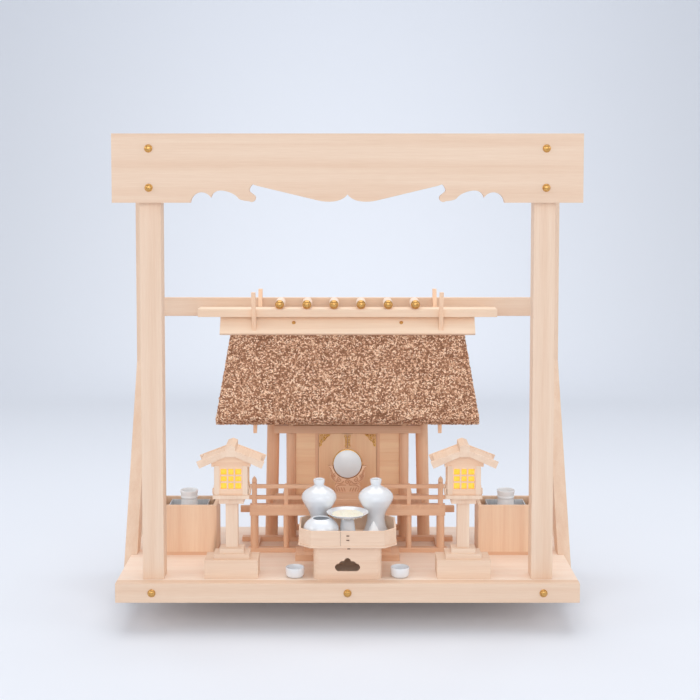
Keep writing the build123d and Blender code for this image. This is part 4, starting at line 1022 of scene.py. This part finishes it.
def lanternBoards():
    x, y = lantern["x"], lantern["y"]
    wide, deep = lantern["halfWide"], lantern["halfDeep"]
    low, high = lantern["bottom"], lantern["top"]
    post, proud, half = lantern["post"], lantern["proud"], lantern["railHalf"]
    boards = []
    for right in (-1, 1):
        for rear in (-1, 1):
            outX, outY = x + right * (wide + proud), y + rear * (deep + proud)
            inX, inY = outX - right * post, outY - rear * post
            near = (min(outX, inX), min(outY, inY), low)
            far = (max(outX, inX), max(outY, inY), high)
            boards.append(board("post", near, far, lantern["ease"]))
    for rear in (-1, 1):
        railY = y + rear * lantern["railY"]
        for reach, rise, ease in lantern["railSteps"]:
            near, far = (x - reach, railY - half, low), (x + reach, railY + half, low + rise)
            boards.append(board("sillRail", near, far, ease))
        plateY = y + rear * (deep - lantern["plateInset"])
        reach = lantern["plateReach"]
        near = (x - reach, plateY - half, high - lantern["plateLow"])
        far = (x + reach, plateY + half, high + lantern["plateHigh"])
        boards.append(board("plate", near, far, lantern["ease"]))
    return boards


def muntins(centre, half, low, high, across):
    # two bars up and two thinner ones across, set in a window that faces along Y or X
    x, y = centre
    thick, barDeep = lantern["bar"], lantern["barDeep"] / 2
    bars = []
    for step in (1, 2):
        u = -half + 2 * half * step / 3
        v = low + (high - low) * step / 3
        upright = (u - thick / 2, u + thick / 2, low, high, barDeep)
        level = (-half, half, v - thick / 2, v + thick / 2, barDeep - lantern["levelBarSunk"])
        for uLow, uHigh, vLow, vHigh, deep in (upright, level):
            if across == "X":
                near, far = (x + uLow, y - deep, vLow), (x + uHigh, y + deep, vHigh)
            else:
                near, far = (x - deep, y + uLow, vLow), (x + deep, y + uHigh, vHigh)
            bars.append(board("windowBar", near, far, lantern["barEase"]))
    return bars


def makeLanterns():
    x, y = lantern["x"], lantern["y"]
    low, high, inset = lantern["windowBottom"], lantern["windowTop"], lantern["windowInset"]
    frontY, sideX = lantern["halfDeep"] - inset, lantern["halfWide"] - inset
    pieces = lanternBoards()
    for way in (-1, 1):
        pieces += muntins((x, y + way * frontY), lantern["windowHalf"], low, high, "X")
        pieces += muntins((x + way * sideX, y), lantern["sideWindowHalf"], low, high, "Y")
    frames = joined("lanternFrames", pieces)
    frames = joined("lanternFrames", [frames, copied(frames, (-2 * x, 0, 0))])
    frames.data.materials.append(wood["lanternZ"])
    shell = mergedCopy("lantern_bodies")
    eased(shell, lantern["shellEase"])
    # the shell takes the warmer box tone: painted shade on the walls set back between the posts
    shell.data.materials.append(wood["boxX"])
    dressed(joined("lanternBodies", [shell, frames]), None, "lantern_wood", "lantern_bodies")
    # the papers glow with painted light
    dressed(mergedCopy("lantern_papers"), paper, "yellow_paper", "lantern_papers")


makeLanterns()
print("stage: lanterns")


# Vase boxes with their metal liners

boxes = {
    "x": 280.5, "cuts": (-38.5, -22.8, -7.2, 8.5, 24.1, 39.8), "railLow": 31, "railTop": 38, "ease": 0.4,
}


def makeBoxes():
    box = mergedCopy("vase_boxes")
    seams = [side * boxes["x"] + side * cut for side in (-1, 1) for cut in boxes["cuts"]]
    box = sawn(box, "X", seams)
    box = sawn(box, "Z", [boxes["railTop"]])
    eased(box, boxes["ease"])
    dressed(box, wood["boxZ"], "box_wood", "vase_boxes")
    # the base rail's faces take the darker shrine wood, with the grain running across: darker along the
    # bottom
    grainWhere(box, wood["shrineX"], (anywhere, anywhere, (boxes["railLow"], boxes["railTop"])))
    liner = mergedCopy("box_liners")
    eased(liner, boxes["ease"])
    dressed(liner, linerMetal, "grey_metal", "box_liners")


makeBoxes()
print("stage: vase boxes")


# Stitches and seam of the offering tray and its foot

stitches = {
    "long": 4.8, "high": 1.3, "proud": 0.4, "trayFace": -162, "footFace": -150, "footPlace": (2.1, 83.6),
    "places": ((0.5, 108.4), (0.5, 101.2)), "seamX": -11.6, "seamWide": 0.3,
    "seamY": (-0.06, 0.2), "seamZ": (91.5, 115.8), "ease": 0.25,
}


def stitch(x, z, face):
    half, high, proud = stitches["long"] / 2, stitches["high"] / 2, stitches["proud"]
    piece = board("stitch", (x - half, face - proud, z - high), (x + half, face + proud, z + high), 0)
    editAll(piece)
    bpy.ops.mesh.subdivide(number_cuts=3)
    bpy.ops.object.mode_set(mode="OBJECT")
    eased(piece, stitches["ease"])
    return piece


threads = [stitch(x, z, stitches["trayFace"]) for x, z in stitches["places"]]
threads.append(stitch(*stitches["footPlace"], stitches["footFace"]))
seamLow, seamHigh = (
    (stitches["seamX"] + side * stitches["seamWide"] / 2, stitches["trayFace"] + y, z)
    for side, y, z in zip((-1, 1), stitches["seamY"], stitches["seamZ"])
)
threads.append(board("traySeam", seamLow, seamHigh, 0))
dressed(joined("trayStitches", threads), barkStitch, "tray_wood")
print("stage: tray stitches")


# Camera, floor, backdrop and lamps

view = {
    "place": (0, -2.2423, 0.7004), "down": 3.51, "lens": 66.59, "sensor": 36,
    "shiftX": 0.00357, "shiftY": -0.14, "farthest": 60,
}

cameraData = bpy.data.cameras.new("altarCamera")
camera = bpy.data.objects.new("altarCamera", cameraData)
bpy.context.scene.collection.objects.link(camera)
camera.location = view["place"]
camera.rotation_euler = (math.radians(90 - view["down"]), 0, 0)
cameraData.sensor_width = view["sensor"]
cameraData.lens = view["lens"]
cameraData.shift_x = view["shiftX"]
cameraData.shift_y = view["shiftY"]
cameraData.clip_end = view["farthest"]
bpy.context.scene.camera = camera

studio = {
    "floorHalf": 7.0, "wallBack": 4.0, "wallHeight": 5.0, "bend": 1.6, "bendSteps": 14, "drop": 0.05,
    "paleColour": srgb(233, 237, 244), "darkColour": srgb(229, 233, 241),
    "worldColour": srgb(244, 246, 250), "worldStrength": 0.6,
}


def makeStudio():
    # one sheet: a level floor a little below the shelf, a bend and an upright wall
    half, back, bend, floor = studio["floorHalf"], studio["wallBack"], studio["bend"], -studio["drop"]
    line = [(0, -half, floor), (0, back - bend, floor)]
    for step in range(1, studio["bendSteps"] + 1):
        angle = math.pi / 2 * step / studio["bendSteps"]
        line.append((0, back - bend + bend * math.sin(angle), floor + bend - bend * math.cos(angle)))
    line.append((0, back, studio["wallHeight"]))
    sheet = drawn("studioSweep", [(-half / mm, y / mm, z / mm) for x, y, z in line])
    editAll(sheet)
    bpy.ops.mesh.extrude_edges_move(TRANSFORM_OT_translate={"value": (2 * half, 0, 0)})
    bpy.ops.object.mode_set(mode="OBJECT")
    smoothed(sheet, 60)
    material, tree, shader = newMaterial("studioPaper", Roughness=0.95, Specular_IOR_Level=0.1)
    shade = noise(tree, objectPlace(tree), 0.4, 1.0)
    colour = mixedColour(tree, shade, studio["paleColour"], studio["darkColour"])
    tree.links.new(colour, shader.inputs["Base Color"])
    sheet.data.materials.append(material)
    settle(sheet)


lamps = {  # place, the point it faces, size in metres and power in watts
    "softTop": ((0.0, 0.5, 2.6), (0, -0.05, 0.2), (2.6, 1.8), 32),
    "softFront": ((0.0, -3.2, 1.5), (0, 0, 0.3), (3.2, 1.8), 33),
    "softLeft": ((-2.6, -1.0, 1.5), (0, 0, 0.4), (1.4, 1.6), 12),
    "softRight": ((2.6, -1.0, 1.5), (0, 0, 0.4), (1.4, 1.6), 12),
    "wallWash": ((0.0, 2.1, 1.2), (0, 4.0, 0.95), (1.6, 0.8), 9.5),
}


def lamp(name, place, target, size, power):
    data = bpy.data.lights.new(name, "AREA")
    data.shape = "RECTANGLE"
    data.size, data.size_y = size
    data.energy = power
    piece = bpy.data.objects.new(name, data)
    bpy.context.scene.collection.objects.link(piece)
    piece.location = place
    piece.rotation_euler = (Vector(target) - Vector(place)).to_track_quat("-Z", "Y").to_euler()


makeStudio()
world = bpy.data.worlds.new("softRoom")
bpy.context.scene.world = world
world.use_nodes = True
background = world.node_tree.nodes["Background"]
background.inputs["Color"].default_value = studio["worldColour"]
background.inputs["Strength"].default_value = studio["worldStrength"]
for name, settings in lamps.items():
    lamp(name, *settings)
bpy.context.scene.view_settings.view_transform = "Standard"
print("stage: camera, studio and lamps")
